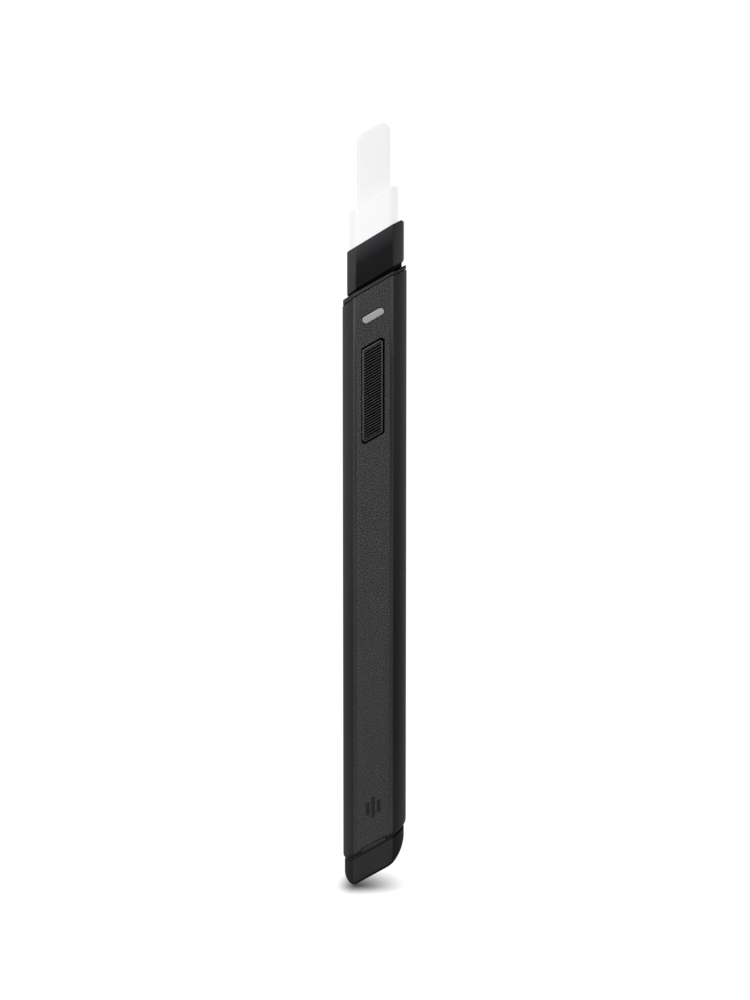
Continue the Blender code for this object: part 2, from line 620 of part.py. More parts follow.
# ================================================================ control board and its screws
board_rise = SLANT * BOARD_HALF_WIDTH
board_corners = [(-BOARD_HALF_WIDTH, BOARD_LOW), (BOARD_HALF_WIDTH, BOARD_LOW),
                 (BOARD_HALF_WIDTH, BOARD_HIGH + board_rise),
                 (-BOARD_HALF_WIDTH, BOARD_HIGH - board_rise)]
control_board = loft("control_board", [[(x, y, z) for x, z in board_corners]
                                       for y in (BOARD_FRONT, BOARD_BACK)], BOARD)
boolean(control_board, combine_tools("cut_board_holes", [
    rod_y("tool", z, cylinder(0.62, -3, 0), sides=12) for z in (SCREW_LOW, SCREW_HIGH)]))
SCREW = [(0, -2.45), (0.85, -2.45), (0.95, -2.32), (0.95, -1.95),
         (0.42, -1.95), (0.42, 1.2), (0, 1.2)]   # (radius, y)
for place, z in (("low", SCREW_LOW), ("high", SCREW_HIGH)):
    screw = rod_y(f"board_screw_{place}", z, SCREW, STEEL)
    boolean(screw, box(f"cut_screw_slot_{place}", (-1.2, -2.7, z - 0.12), (1.2, -2.2, z + 0.12),
                       STEEL))

# ================================================================ parts on the board
switch_base = box("switch_base", (-2.2, -3.10, BUTTON_Z - 1.6), (2.2, PART_BACK, BUTTON_Z + 1.6),
                  CHIP)
boolean(switch_base, rod_y("cut_switch_pocket", BUTTON_Z, cylinder(0.92, -4, -2.35), CHIP))
rod_y("switch_stem", BUTTON_Z,
      [(0, -3.52), (0.7, -3.52), (0.8, -3.42), (0.8, -2.75), (0, -2.75)], RIBBED)
box("mcu_chip", (-1.8, -2.65, 86.0), (1.8, PART_BACK, 89.6), CHIP)
box("heater_mosfet", (-1.6, -1.05, 92.0), (1.6, -0.25, 96.0), CHIP)
box("status_led", (-1.2, -2.70, LENS_Z - 0.55), (1.2, PART_BACK, LENS_Z + 0.55), COLLAR)

# ================================================================ inner frame
# Carries the cell and the board.
inner_frame = stack("inner_frame", sleeve_coarse, [(FRAME_LOW, 0), (FRAME_HIGH, 0)], INNER,
                    inset=SLEEVE_WALL + FRAME_GAP, slope=0, top_slope=0)
boolean(inner_frame, turned("cut_frame_bores", [(0, 18), (3.4, 18), (3.4, CELL_SEAT),
                                                (CELL_BORE, CELL_SEAT), (CELL_BORE, 73.9),
                                                (0, 73.9)], sides=28))
# name, low corner, high corner
for name, low, high in (
        ("cut_frame_front_window", (-2.6, -6, CELL_SEAT), (2.6, -1.5, 73.8)),
        ("cut_frame_back_window", (-2.6, 2.0, 15), (2.6, 6, 79.0)),
        ("cut_frame_front_half", (-7, -7, 73.7), (7, -1.05, 112)),
        ("cut_frame_room_low", (-3.9, -2, 76.5), (3.9, 3.2, 81.3)),
        ("cut_frame_room_high", (-3.9, -2, 84.1), (3.9, 3.2, 112))):
    boolean(inner_frame, box(name, low, high, INNER))
boolean(inner_frame, rod_y("cut_frame_screw_hole", SCREW_LOW, cylinder(*SCREW_BORE), INNER, 12))

# ================================================================ cell
turned("battery_cell", [(0, CELL_LOW), (3.6, CELL_LOW), (CELL_RADIUS, CELL_LOW + 0.4),
                        (CELL_RADIUS, CELL_HIGH - 0.4), (3.6, CELL_HIGH), (0, CELL_HIGH)], WRAP, 28)
turned("battery_terminal", cylinder(1.5, CELL_HIGH + 0.04, CELL_HIGH + 0.34), NICKEL, 18)
box("battery_tab_positive", (-1.2, -3.1, CELL_HIGH + 0.38), (1.2, 1.3, CELL_HIGH + 0.53), NICKEL)
box("battery_tab_negative", (-1.2, -3.5, CELL_LOW - 0.22), (1.6, 1.3, CELL_LOW - 0.07), NICKEL)
turned("battery_pad", cylinder(2.8, 23.66, 24.10), FOAM, 18)
cable("battery_lead_positive",
      [(-0.6, -2.6, 73.90), (-1.2, -2.75, 76.5), (-1.5, -2.45, 79.6), (-1.5, -2.36, 81.0)],
      0.28, RED)
cable("battery_lead_negative",
      [(0.9, -3.45, 24.28), (1.9, -3.72, 24.5), (2.2, -3.87, 26.2), (2.2, -3.87, 30.0),
       (2.2, -3.87, 70.0), (2.1, -3.3, 76.0), (1.6, -2.45, 79.6), (1.6, -2.36, 81.0)], 0.25, BLACK)

# ================================================================ end cap
end_cap = contoured_block("end_cap", CAP_HALF, CAP_X, cap_floor, lambda x: CAP_TOP + SLANT * x,
                          CAP, steps=22, edge=CAP_EDGE)
boolean(end_cap, contoured_block("cut_cap_room", CAP_HALF, CAP_X, partial(cap_floor, shell=CAP_WALL),
                                 lambda x: 20, CAP, steps=18, shell=CAP_WALL))

# ================================================================ holder of the charging port
port_outline = partial(rounded_box, *PORT_HALF, PORT_ROUND, middle=(PORT_X, 0), steps=3)
port_nose = contoured_block("port_nose", NOSE_HALF, NOSE_X,
                            lambda x: max(NOSE_LOW, cap_floor(x, CAP_WALL + NOSE_GAP)),
                            lambda x: NOSE_HIGH, INNER, steps=20)
boolean(port_nose, stack("cut_port", port_outline, [(2, 0), (25, 0)], INNER,
                         inset=-PORT_GAP, slope=0, top_slope=0))
boolean(port_nose, box("cut_charge_board_slot", (-4.1, 1.66, 8.3), (3.9, 2.66, 25), INNER))

# ================================================================ charging port and its board
usb_shell = stack("usb_shell", port_outline, [(6.55, 0), (13.85, 0)], STEEL, slope=0, top_slope=0)
boolean(usb_shell, stack("cut_usb_mouth", port_outline, [(2, 0), (13.5, 0)], STEEL,
                         inset=PORT_WALL, slope=0, top_slope=0))
usb_tongue = box("usb_tongue", (PORT_X - 3.34, -0.35, 7.3), (PORT_X + 3.34, 0.35, 12.3), INNER)
boolean(usb_tongue, box("add_usb_back", (PORT_X - 3.35, -1.1, 12.2), (PORT_X + 3.35, 1.1, 13.42),
                        INNER), "UNION")
box("charge_board", (-3.9, 1.74, 8.5), (3.7, 2.54, 19.8), BOARD)
box("charge_chip", (-1.5, 0.95, 14.6), (1.5, 1.66, 17.6), CHIP)

# Path of the right-hand charge lead; the left-hand one mirrors it in X.
CHARGE_PATH = [(1.5, 3.0, 18.3), (1.7, 3.25, 21.0), (2.2, 3.87, 26.0), (2.2, 3.87, 30.0),
               (2.2, 3.87, 70.0), (2.1, 3.6, 76.4), (1.8, 2.6, 78.6), (1.5, 0.4, 79.9),
               (1.5, -0.7, 80.3)]
for (word, side), colour in zip(SIDES, (RED, WHITE)):
    cable(f"charge_lead_{word}", [(side * x, y, z) for x, y, z in CHARGE_PATH], 0.25, colour)
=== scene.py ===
"""Hand tool with a plug-in ceramic blade, standing upright along +Z.

The handle is an oval barrel with a textured strip, button and light window on its front (-Y).
The blade tip plugs in at the top and a cap closes the foot. Left is -X and right is +X.
Nearly every edge that crosses the tool climbs toward +X at 30 degrees. Sizes are in mm and
turn to metres when a mesh is made; heights on a slanted edge are measured at x = 0.
"""

import json
import math

import bmesh
import bpy
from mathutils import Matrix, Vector

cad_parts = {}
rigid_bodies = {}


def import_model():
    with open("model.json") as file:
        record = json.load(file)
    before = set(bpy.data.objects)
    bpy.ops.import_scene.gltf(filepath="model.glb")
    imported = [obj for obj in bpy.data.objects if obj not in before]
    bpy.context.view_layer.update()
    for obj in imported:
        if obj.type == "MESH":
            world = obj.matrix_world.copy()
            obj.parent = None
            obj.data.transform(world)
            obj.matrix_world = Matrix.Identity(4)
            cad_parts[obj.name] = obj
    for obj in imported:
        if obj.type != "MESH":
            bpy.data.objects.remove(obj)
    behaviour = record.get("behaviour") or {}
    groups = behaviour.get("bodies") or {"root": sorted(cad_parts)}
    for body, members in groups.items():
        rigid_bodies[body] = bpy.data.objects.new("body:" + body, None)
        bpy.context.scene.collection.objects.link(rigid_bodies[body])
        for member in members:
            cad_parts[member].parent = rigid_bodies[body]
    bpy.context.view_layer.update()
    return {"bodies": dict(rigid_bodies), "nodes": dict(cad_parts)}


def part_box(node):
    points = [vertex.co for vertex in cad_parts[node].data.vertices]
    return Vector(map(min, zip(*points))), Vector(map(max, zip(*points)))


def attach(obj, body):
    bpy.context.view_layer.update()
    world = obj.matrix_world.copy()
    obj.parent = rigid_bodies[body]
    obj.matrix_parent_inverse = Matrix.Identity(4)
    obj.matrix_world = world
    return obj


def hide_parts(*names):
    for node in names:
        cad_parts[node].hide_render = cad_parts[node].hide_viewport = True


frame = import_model()
NODES = frame["nodes"]
MM = 0.001
SLANT = math.tan(math.radians(30.0))
COS30 = math.cos(math.radians(30.0))
SIN30 = 0.5

# ---------------------------------------------------------------- shared sizes
# barrel outlines: half width, half depth, half width of the flat face
SLEEVE = (6.38, 5.40, 3.92)
FRONT = -SLEEVE[1]
SLEEVE_TOP = 120.7
SLEEVE_BOTTOM = 8.25
WALL = 1.10
EDGE_DEPTH = 0.52                # rounding of the sleeve's lower edge
EDGE_HEIGHT = 1.10
COVER_HALF = (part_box("front_cover")[1] * 1000.0).x
BEZEL_TOP = 121.42
SOCKET = (5.62, 4.60, 3.65)
SOCKET_X = 0.20
SOCKET_BOTTOM = 122.35
SOCKET_TOP = 130.7
COLLAR = (4.85, 3.30, 3.30)
COLLAR_X = -0.20
COLLAR_BOTTOM = 126.3
COLLAR_TOP = 138.25
BLADE_X = -0.20
BLADE_HALF = 3.23                # half width
BLADE_HALF_THICK = 0.45
BLADE_SHOULDER = 132.0
SHANK_HALF = 2.40
LENS_Z = 115.1
LENS_LENGTH = 4.76
LENS_WIDTH = 1.50
BUTTON_Z = 100.3
BUTTON_FRONT = FRONT - 0.25
PIN_X = 2.20
PIN_Y = 0.80
CAP_LEFT = -6.08
CAP_RIGHT = 5.97
CAP_DEPTH = 5.00
CAP_FLAT = 3.95
CAP_TOP = 7.70
CAP_WALL = 0.65
PORT = (4.47, 1.63, 1.45)        # half width, half depth, corner radius
PORT_X = -0.30


# ---------------------------------------------------------------- node helpers
def feed(tree, target, inputs):
    """Sets inputs of a node: each takes a plain value or the socket that drives it."""
    for key, source in inputs.items():
        if isinstance(source, bpy.types.NodeSocket):
            tree.links.new(source, target.inputs[key])
        else:
            target.inputs[key].default_value = source


def add_node(tree, kind, inputs, **settings):
    node = tree.nodes.new("ShaderNode" + kind)
    for key, value in settings.items():
        setattr(node, key, value)
    feed(tree, node, inputs)
    return node


def empty_tree(owner, output_kind):
    """Clears the nodes of a material or world; returns the tree and its output node."""
    owner.use_nodes = True
    tree = owner.node_tree
    tree.nodes.clear()
    return tree, add_node(tree, output_kind, {})


def calc(tree, operation, *values):
    return add_node(tree, "Math", dict(enumerate(values)), operation=operation).outputs[0]


def coordinates(tree):
    return add_node(tree, "TexCoord", {}).outputs


def split(tree, vector):
    return add_node(tree, "SeparateXYZ", {0: vector}).outputs


def slanted_height(tree, axes):
    """Height measured along the 30 degree slant, in metres."""
    return calc(tree, "MULTIPLY_ADD", axes["X"], -SLANT, axes["Z"])


def ramp(tree, value, span, to):
    """Maps the span of the value to a pair of results, held level outside it."""
    return add_node(tree, "MapRange", {
        "From Min": span[0], "From Max": span[1],
        "To Min": to[0], "To Max": to[1], "Value": value}).outputs[0]


def ramp_mm(tree, value, span, to):
    """The same for a length, with the span given in mm."""
    return ramp(tree, value, (span[0] * MM, span[1] * MM), to)


def noise(tree, vector, scale, detail=4.0, rough=0.55, stretch=None):
    if stretch:
        vector = add_node(tree, "Mapping", {"Scale": stretch, "Vector": vector}).outputs[0]
    return add_node(tree, "TexNoise", {
        "Scale": scale, "Detail": detail, "Roughness": rough, "Vector": vector}).outputs["Fac"]


def scaled_colour(tree, colour, factor):
    return add_node(tree, "VectorMath", {0: colour, "Scale": factor}, operation="SCALE").outputs[0]


def bump(tree, bsdf, *layers):
    """Chains bumps, each (height socket, strength, distance in metres)."""
    normal = None
    for height, strength, distance in layers:
        inputs = {"Strength": strength, "Distance": distance, "Height": height}
        if normal is not None:
            inputs["Normal"] = normal
        normal = add_node(tree, "Bump", inputs).outputs[0]
    feed(tree, bsdf, {"Normal": normal})


def tone_curve(tree, value, stations, interpolation="LINEAR"):
    """Grey colour ramp through stations of (position, level); the ends are at 0 and 1."""
    node = add_node(tree, "ValToRGB", {0: value})
    node.color_ramp.interpolation = interpolation
    elements = node.color_ramp.elements
    for element, (position, level) in zip(elements, (stations[0], stations[-1])):
        element.position = position
        element.color = (level, level, level, 1)
    for position, level in stations[1:-1]:
        elements.new(position).color = (level, level, level, 1)
    return node.outputs["Color"]


# ---------------------------------------------------------------- kinds of material
NOISE_SPAN = (0.3, 0.7)          # working range of a noise value
FLAT_SPAN = (0.86, 0.992)        # |normal y|: from the curved sides to the flat faces


def new_material(name):
    """Returns material, tree, shader and object coordinates in mm."""
    material = bpy.data.materials.new(name)
    tree, output = empty_tree(material, "OutputMaterial")
    bsdf = add_node(tree, "BsdfPrincipled", {})
    feed(tree, output, {0: bsdf.outputs[0]})
    place = add_node(tree, "Mapping", {
        "Scale": (1000, 1000, 1000), "Vector": coordinates(tree)["Object"]}).outputs[0]
    return material, tree, bsdf, place


def drift(tree, height, stations):
    """Painted light and shade: a factor along the length, linear between stations of
    (height in mm, factor).
    """
    level = None
    for (low, low_factor), (high, high_factor) in zip(stations, stations[1:]):
        if level is None:
            level = ramp_mm(tree, height, (low, high), (low_factor, high_factor))
        else:
            step = ramp_mm(tree, height, (low, high), (1.0, high_factor / low_factor))
            level = calc(tree, "MULTIPLY", level, step)
    return level


def plastic(name, colour, rough, specular=0.5, grain=0.16, grain_height=0.000004,
            grain_strength=0.25, mottling=0.06, speck=0.0, wear=0.04, calm=None, band=0.2,
            sides=None, flats=None, facing=1.0, under=1.0, sheen=1.0):
    """Moulded plastic with surface grain, mottled colour and faint handling marks.

    grain          size of the grain in mm; grain_height is in metres
    mottling       swing of the broad tone; speck is the swing of tone with the grain
    wear           swing of roughness along the handling marks
    calm           (low, high, share): speck falls to the share below low, heights in metres
    band           half width of the noise range that drives speck when calm is given
    sides, flats   painted light and shade: drift of tone along the length on the curved sides
                   and the flat faces
    facing         painted light: tone of the flat front and back, relative to the curved sides
    under          painted shade: tone of surfaces turned downward; used only with facing
    sheen          specular on the flat faces, relative to the sides; used only with facing
    """
    material, tree, bsdf, place = new_material(name)
    fine = noise(tree, place, scale=1.0 / grain, detail=3.0, rough=0.6)
    broad = noise(tree, place, scale=0.22, detail=3.0)
    marks = noise(tree, place, scale=1.0, detail=5.0, rough=0.65, stretch=(1.6, 1.6, 0.12))
    if calm:
        height = split(tree, coordinates(tree)["Object"])["Z"]
        swing = ramp(tree, fine, span=(0.5 - band, 0.5 + band), to=(-speck, speck))
        share = ramp(tree, height, span=calm[:2], to=(calm[2], 1.0))
        specks = calc(tree, "MULTIPLY_ADD", swing, share, 1.0)
    else:
        specks = ramp(tree, fine, span=NOISE_SPAN, to=(1 - speck, 1 + speck))
    mottle = ramp(tree, broad, span=NOISE_SPAN, to=(1 - mottling, 1 + mottling))
    level = calc(tree, "MULTIPLY", mottle, specks)
    bsdf_specular = specular
    # painted light and shade: the tone drifts along the length, one way on the sides and another
    # on the flat faces
    if sides:
        height = split(tree, coordinates(tree)["Object"])["Z"]
        painted_side_tone = drift(tree, height, sides)
        painted_flat_tone = drift(tree, height, flats)
        flat = calc(tree, "ABSOLUTE", split(tree, coordinates(tree)["Normal"])["Y"])
        mix = add_node(tree, "Mix", {0: ramp(tree, flat, span=FLAT_SPAN, to=(0.0, 1.0)),
                                     2: painted_side_tone, 3: painted_flat_tone}, data_type="FLOAT")
        level = calc(tree, "MULTIPLY", level, mix.outputs[0])
    # painted light: flat faces paler or darker than the sides; painted shade on surfaces turned
    # downward
    if facing != 1.0:
        normal = split(tree, coordinates(tree)["Normal"])
        flat = calc(tree, "ABSOLUTE", normal["Y"])
        level = calc(tree, "MULTIPLY", level, ramp(tree, flat, span=FLAT_SPAN, to=(1.0, facing)))
        if sheen != 1.0:
            bsdf_specular = ramp(tree, flat, span=FLAT_SPAN, to=(specular, specular * sheen))
        if under != 1.0:
            shade = ramp(tree, normal["Z"], span=(-0.5, -0.06), to=(under, 1.0))
            level = calc(tree, "MULTIPLY", level, shade)
    feed(tree, bsdf, {"Specular IOR Level": specular})
    feed(tree, bsdf, {
        "Base Color": scaled_colour(tree, colour, level),
        "Roughness": ramp(tree, marks, span=(0.35, 0.7), to=(rough + wear, rough - wear)),
        "Specular IOR Level": bsdf_specular,
        "Coat Roughness": 0.2})
    bump(tree, bsdf, (fine, grain_strength, grain_height), (marks, 0.03, 0.000004))
    return material


def ceramic(name, colour, rough, glow):
    """Pale ceramic, lifted by a little white emission of strength glow.

    The emission is painted light: it keeps the shaded sides nearly as bright as the lit ones.
    """
    material, tree, bsdf, place = new_material(name)
    fine = noise(tree, place, scale=9.0, detail=4.0, rough=0.6)
    cloud = noise(tree, place, scale=0.35, detail=3.0)
    tone = ramp(tree, cloud, span=NOISE_SPAN, to=(0.985, 1.01))
    feed(tree, bsdf, {
        "Base Color": scaled_colour(tree, colour, tone),
        "Roughness": ramp(tree, fine, span=NOISE_SPAN, to=(rough - 0.05, rough + 0.06)),
        "Subsurface Weight": 0.1,
        "Subsurface Radius": (1, 0.97, 0.93),
        "Subsurface Scale": 0.0012,
        "Specular IOR Level": 0.25,
        "Emission Color": (1, 1, 1, 1),
        "Emission Strength": glow})
    bump(tree, bsdf, (fine, 0.12, 0.000003))
    return material


def metal(name, colour, rough, brushed=(1, 1, 14)):
    """Metal with fine brush marks; brushed is the stretch of their noise."""
    material, tree, bsdf, place = new_material(name)
    brush = noise(tree, place, scale=1.6, detail=5.0, rough=0.7, stretch=brushed)
    spots = noise(tree, place, scale=1.3, detail=4.0)
    tone = ramp(tree, spots, span=NOISE_SPAN, to=(0.9, 1.05))
    feed(tree, bsdf, {
        "Base Color": scaled_colour(tree, colour, tone),
        "Roughness": ramp(tree, brush, span=NOISE_SPAN, to=(rough - 0.08, rough + 0.1)),
        "Metallic": 1.0})
    bump(tree, bsdf, (brush, 0.15, 0.000004))
    return material


def board(name):
    """Green circuit board with faint cells in its XZ plane."""
    material, tree, bsdf, place = new_material(name)
    turned = add_node(tree, "Mapping", {"Rotation": (math.pi / 2, 0, 0), "Vector": place})
    cells = add_node(tree, "TexBrick", {
        "Scale": 0.55,
        "Color1": (0.012, 0.10, 0.045, 1),
        "Color2": (0.016, 0.13, 0.06, 1),
        "Mortar": (0.03, 0.20, 0.10, 1),
        "Mortar Size": 0.03,
        "Vector": turned.outputs[0]})
    weave = noise(tree, place, scale=6.0, detail=3.0)
    feed(tree, bsdf, {
        "Base Color": cells.outputs["Color"],
        "Roughness": ramp(tree, weave, span=NOISE_SPAN, to=(0.32, 0.48))})
    bump(tree, bsdf, (weave, 0.15, 0.000005))
    return material


# ---------------------------------------------------------------- the materials
MAT_COVER = plastic("cover_grain", (0.0370, 0.0370, 0.0372), rough=0.66, specular=0.30,
                    grain=0.20, grain_height=0.00010, grain_strength=1.0, mottling=0.05,
                    speck=0.99, calm=(0.030, 0.065, 0.70), band=0.092)
# painted light and shade: paler flat faces, darker undersides and a tone that drifts along the
# length
MAT_SHELL = plastic("shell_satin", (0.0065, 0.0065, 0.0067), rough=0.42, specular=0.45,
                    grain=0.10, grain_height=0.000003, grain_strength=0.15, mottling=0.05,
                    wear=0.02, facing=4.3, under=0.62, sheen=0.3,
                    sides=[(14, 2.6), (34, 1.3), (50, 1.0), (72, 1.7), (100, 2.5), (118, 2.7)],
                    flats=[(14, 1.6), (34, 1.2), (68, 1.15), (88, 0.75), (106, 0.72),
                           (113, 1.5), (118, 1.7)])
# painted light and shade: the bezel's flat faces darker than its sides
MAT_BEZEL = plastic("bezel_satin", (0.018, 0.018, 0.0182), rough=0.42, specular=0.45,
                    grain=0.10, grain_height=0.000003, grain_strength=0.12, facing=0.36)
MAT_SOCKET = plastic("socket_gloss", (0.0072, 0.0072, 0.0084), rough=0.18, specular=0.60,
                     grain=0.22, grain_height=0.000001, grain_strength=0.06, mottling=0.04,
                     wear=0.012)
MAT_BUTTON = plastic("button_satin", (0.022, 0.022, 0.0222), rough=0.42, grain=0.09,
                     grain_strength=0.2)
# painted light: the cap's flat faces paler than its sides
MAT_CAP = plastic("cap_matt", (0.0095, 0.0095, 0.0096), rough=0.55, specular=0.30, grain=0.17,
                  grain_height=0.00001, grain_strength=0.35, mottling=0.12, speck=0.10,
                  facing=2.15)
# painted shade: the lip's dark colour stands for shadow in the gap; its flat faces take painted
# light
MAT_LIP = plastic("lip_matt", (0.0045, 0.0045, 0.0046), rough=0.55, specular=0.25, grain=0.17,
                  grain_height=0.000005, grain_strength=0.2, facing=2.15)
MAT_MARK = plastic("mark_dark", (0.012, 0.012, 0.012), rough=0.5, specular=0.3, grain=0.08,
                   grain_height=0.000002, grain_strength=0.1)
# near-black painted shade for the walls round the button and light window, the bands in the bezel
# and the neck under the socket
MAT_GAP_SHADE, MAT_NECK = [
    plastic(name, (0.0012, 0.0012, 0.0012), rough=0.85, specular=0.06, grain=0.12,
            grain_height=0.00001, grain_strength=0.3) for name in ("recess_painted_shade", "neck_painted_shade")]
MAT_NOTCH = plastic("notch_satin", (0.027, 0.027, 0.0272), rough=0.5, specular=0.4, grain=0.1,
                    grain_strength=0.2)
MAT_INNER = plastic("inner_plastic", (0.022, 0.022, 0.0222), rough=0.50, specular=0.45,
                    grain=0.14, grain_height=0.000006)
MAT_LENS = plastic("lens_frosted", (0.36, 0.36, 0.36), rough=0.42, grain=0.12,
                   grain_height=0.000003, grain_strength=0.15, mottling=0.03)
# the collar, blade and cement glow: painted light that lifts them evenly
MAT_COLLAR = ceramic("collar_ceramic", (0.17, 0.17, 0.17), rough=0.45, glow=0.77)
MAT_BLADE = ceramic("blade_ceramic", (0.185, 0.185, 0.187), rough=0.42, glow=0.70)
MAT_CEMENT = ceramic("cement_white", (0.25, 0.25, 0.249), rough=0.75, glow=0.64)
MAT_GOLD = metal("contact_gold", (0.90, 0.68, 0.32), rough=0.26)
MAT_STEEL = metal("steel_brushed", (0.62, 0.62, 0.63), rough=0.32)
MAT_NICKEL = metal("nickel_strip", (0.70, 0.69, 0.65), rough=0.34, brushed=(1, 9, 1))
MAT_BOARD = board("board_green")
MAT_CHIP = plastic("chip_epoxy", (0.014, 0.014, 0.015), rough=0.45, specular=0.4, grain=0.08,
                   grain_height=0.000005, grain_strength=0.3)
MAT_WRAP = plastic("cell_wrap", (0.03, 0.11, 0.30), rough=0.30, grain=0.5,
                   grain_height=0.00001, grain_strength=0.15)
MAT_RED = plastic("wire_red", (0.42, 0.015, 0.015), rough=0.38)
MAT_BLACK = plastic("wire_black", (0.012, 0.012, 0.012), rough=0.38)
MAT_WHITE = plastic("wire_white", (0.72, 0.72, 0.70), rough=0.42)
MAT_SILICONE = plastic("silicone_grey", (0.10, 0.10, 0.105), rough=0.60, specular=0.3, grain=0.1)
MAT_FOAM = plastic("foam_grey", (0.06, 0.06, 0.062), rough=0.9, specular=0.1, grain=0.15,
                   grain_height=0.00008, grain_strength=0.8, speck=0.3)
MAT_LED = plastic("led_package", (0.80, 0.80, 0.78), rough=0.35)


# ---------------------------------------------------------------- painted light and shade on three of them
def shader_of(material):
    tree = material.node_tree
    return tree, next(node for node in tree.nodes if node.type == "BSDF_PRINCIPLED")


def scale_base(tree, bsdf, factor):
    """Multiplies the base colour a material already has."""
    base = bsdf.inputs["Base Color"].links[0].from_socket
    feed(tree, bsdf, {"Base Color": scaled_colour(tree, base, factor)})


def shade_socket():
    """Flat faces pale under the slanted rim, a paler right end, and creases that stay dull.

    The paleness is painted light; the creases only lose specular.
    """
    tree, bsdf = shader_of(MAT_SOCKET)
    place = coordinates(tree)
    axes = split(tree, place["Object"])
    frontal = calc(tree, "ABSOLUTE", split(tree, place["Normal"])["Y"])
    # painted light: flat faces paler toward the top rim, all faces paler toward the right end
    rim = ramp_mm(tree, slanted_height(tree, axes),
                  span=(SOCKET_TOP - 4.0, SOCKET_TOP - 0.2), to=(0.0, 4.0))
    on_flat = ramp(tree, frontal, span=(0.90, 0.99), to=(0.0, 1.0))
    painted_right_light = ramp_mm(tree, axes["X"], span=(3.9, 5.2), to=(1.0, 2.7))
    scale_base(tree, bsdf, calc(tree, "MULTIPLY_ADD", rim, on_flat, painted_right_light))
    off_flat = ramp(tree, frontal, span=(0.955, 0.992), to=(1.0, 0.0))
    off_side = ramp(tree, frontal, span=(0.56, 0.72), to=(0.0, 1.0))
    crease = calc(tree, "MULTIPLY", off_flat, off_side)
    feed(tree, bsdf, {"Specular IOR Level": ramp(tree, crease, span=(0.0, 1.0), to=(0.60, 0.05))})


def shade_neck():
    """Painted light: the neck under the socket is paler at the right, high up."""
    tree, bsdf = shader_of(MAT_NECK)
    axes = split(tree, coordinates(tree)["Object"])
    high = ramp_mm(tree, slanted_height(tree, axes), span=(121.75, 121.95), to=(0.0, 11.0))
    right = ramp_mm(tree, axes["X"], span=(3.3, 4.2), to=(0.0, 1.0))
    scale_base(tree, bsdf, calc(tree, "MULTIPLY_ADD", high, right, 1.0))


def shade_button():
    """Painted shade: the grooves of the button darken and lose their shine with depth."""
    tree, bsdf = shader_of(MAT_BUTTON)
    depth = split(tree, coordinates(tree)["Object"])["Y"]
    groove = (BUTTON_FRONT + 0.045, BUTTON_FRONT + 0.12)
    scale_base(tree, bsdf, ramp_mm(tree, depth, span=groove, to=(1.0, 0.02)))
    feed(tree, bsdf, {"Specular IOR Level": ramp_mm(tree, depth, span=groove, to=(0.5, 0.08))})


shade_socket()
shade_neck()
shade_button()

NODE_MATERIALS = {
    MAT_SHELL: ["body_sleeve"],
    MAT_COVER: ["front_cover"],
    MAT_BEZEL: ["tip_receiver"],
    MAT_SOCKET: ["tip_socket"],
    MAT_COLLAR: ["heat_collar"],
    MAT_BLADE: ["ceramic_blade"],
    MAT_LENS: ["led_lens"],
    MAT_BUTTON: ["power_button", "switch_stem"],
    MAT_CAP: ["end_cap"],
    MAT_INNER: ["port_nose", "inner_frame", "contact_block", "usb_tongue"],
    MAT_GOLD: ["tip_stud_left", "tip_stud_right", "contact_barrel_left", "contact_barrel_right",
               "contact_plunger_left", "contact_plunger_right"],
    MAT_STEEL: ["contact_spring_left", "contact_spring_right", "usb_shell", "board_screw_low",
                "board_screw_high"],
    MAT_NICKEL: ["blade_lead_left", "blade_lead_right", "battery_terminal",
                 "battery_tab_positive", "battery_tab_negative"],
    MAT_BOARD: ["control_board", "charge_board"],
    MAT_CHIP: ["switch_base", "mcu_chip", "heater_mosfet", "charge_chip"],
    MAT_WRAP: ["battery_cell"],
    MAT_RED: ["battery_lead_positive", "charge_lead_left"],
    MAT_BLACK: ["battery_lead_negative"],
    MAT_WHITE: ["charge_lead_right", "heater_lead_left", "heater_lead_right"],
    MAT_SILICONE: ["tip_seal_ring", "button_pad"],
    MAT_FOAM: ["battery_pad"],
    MAT_LED: ["status_led"],
}
for material, names in NODE_MATERIALS.items():
    for name in names:
        NODES[name].data.materials.clear()
        NODES[name].data.materials.append(material)


# ---------------------------------------------------------------- outlines
def side_centre(half):
    """Distance from the middle to the centre of the arc that makes a barrel's side."""
    half_width, half_depth, half_flat = half
    return ((half_width * half_width - half_flat * half_flat - half_depth * half_depth)
            / (2 * (half_width - half_flat)))


def barrel(half, inset=0.0, shift_x=0.0, crease=0.28, crease_steps=6, side_steps=26):
    """Flat front and back, round sides, and creases of the given radius between them."""
    centre = side_centre(half)
    radius = half[0] - centre - inset
    depth = half[1] - inset
    crease = max(crease - inset, 0.08)
    crease_x = centre + math.sqrt((radius - crease) ** 2 - (depth - crease) ** 2)
    turn = math.atan2(depth - crease, crease_x - centre)
    quarter = []
    for i in range(crease_steps + 1):
        angle = -math.pi / 2 + (math.pi / 2 - turn) * i / crease_steps
        quarter.append((crease_x + crease * math.cos(angle),
                        -(depth - crease) + crease * math.sin(angle)))
    for i in range(1, side_steps // 2 + 1):
        angle = -turn * (1 - i / (side_steps // 2))
        quarter.append((centre + radius * math.cos(angle), radius * math.sin(angle)))
    points = list(quarter)
    points += [(x, -y) for x, y in reversed(quarter[:-1])]
    points += [(-x, -y) for x, y in quarter]
    points += [(-x, y) for x, y in reversed(quarter[:-1])]
    return [(x + shift_x, y) for x, y in points]


def depth_at(half, x, inset):
    """Half depth of a barrel at x, without its creases."""
    centre = side_centre(half)
    side = max((half[0] - centre - inset) ** 2 - (abs(x) - centre) ** 2, 0.0)
    return min(half[1] - inset, math.sqrt(side))


def sleeve(inset=0.0):
    return barrel(SLEEVE, inset)


def bore(inset):
    """The sleeve's outline in fewer steps, for walls inside it."""
    return barrel(SLEEVE, inset, crease_steps=3, side_steps=20)


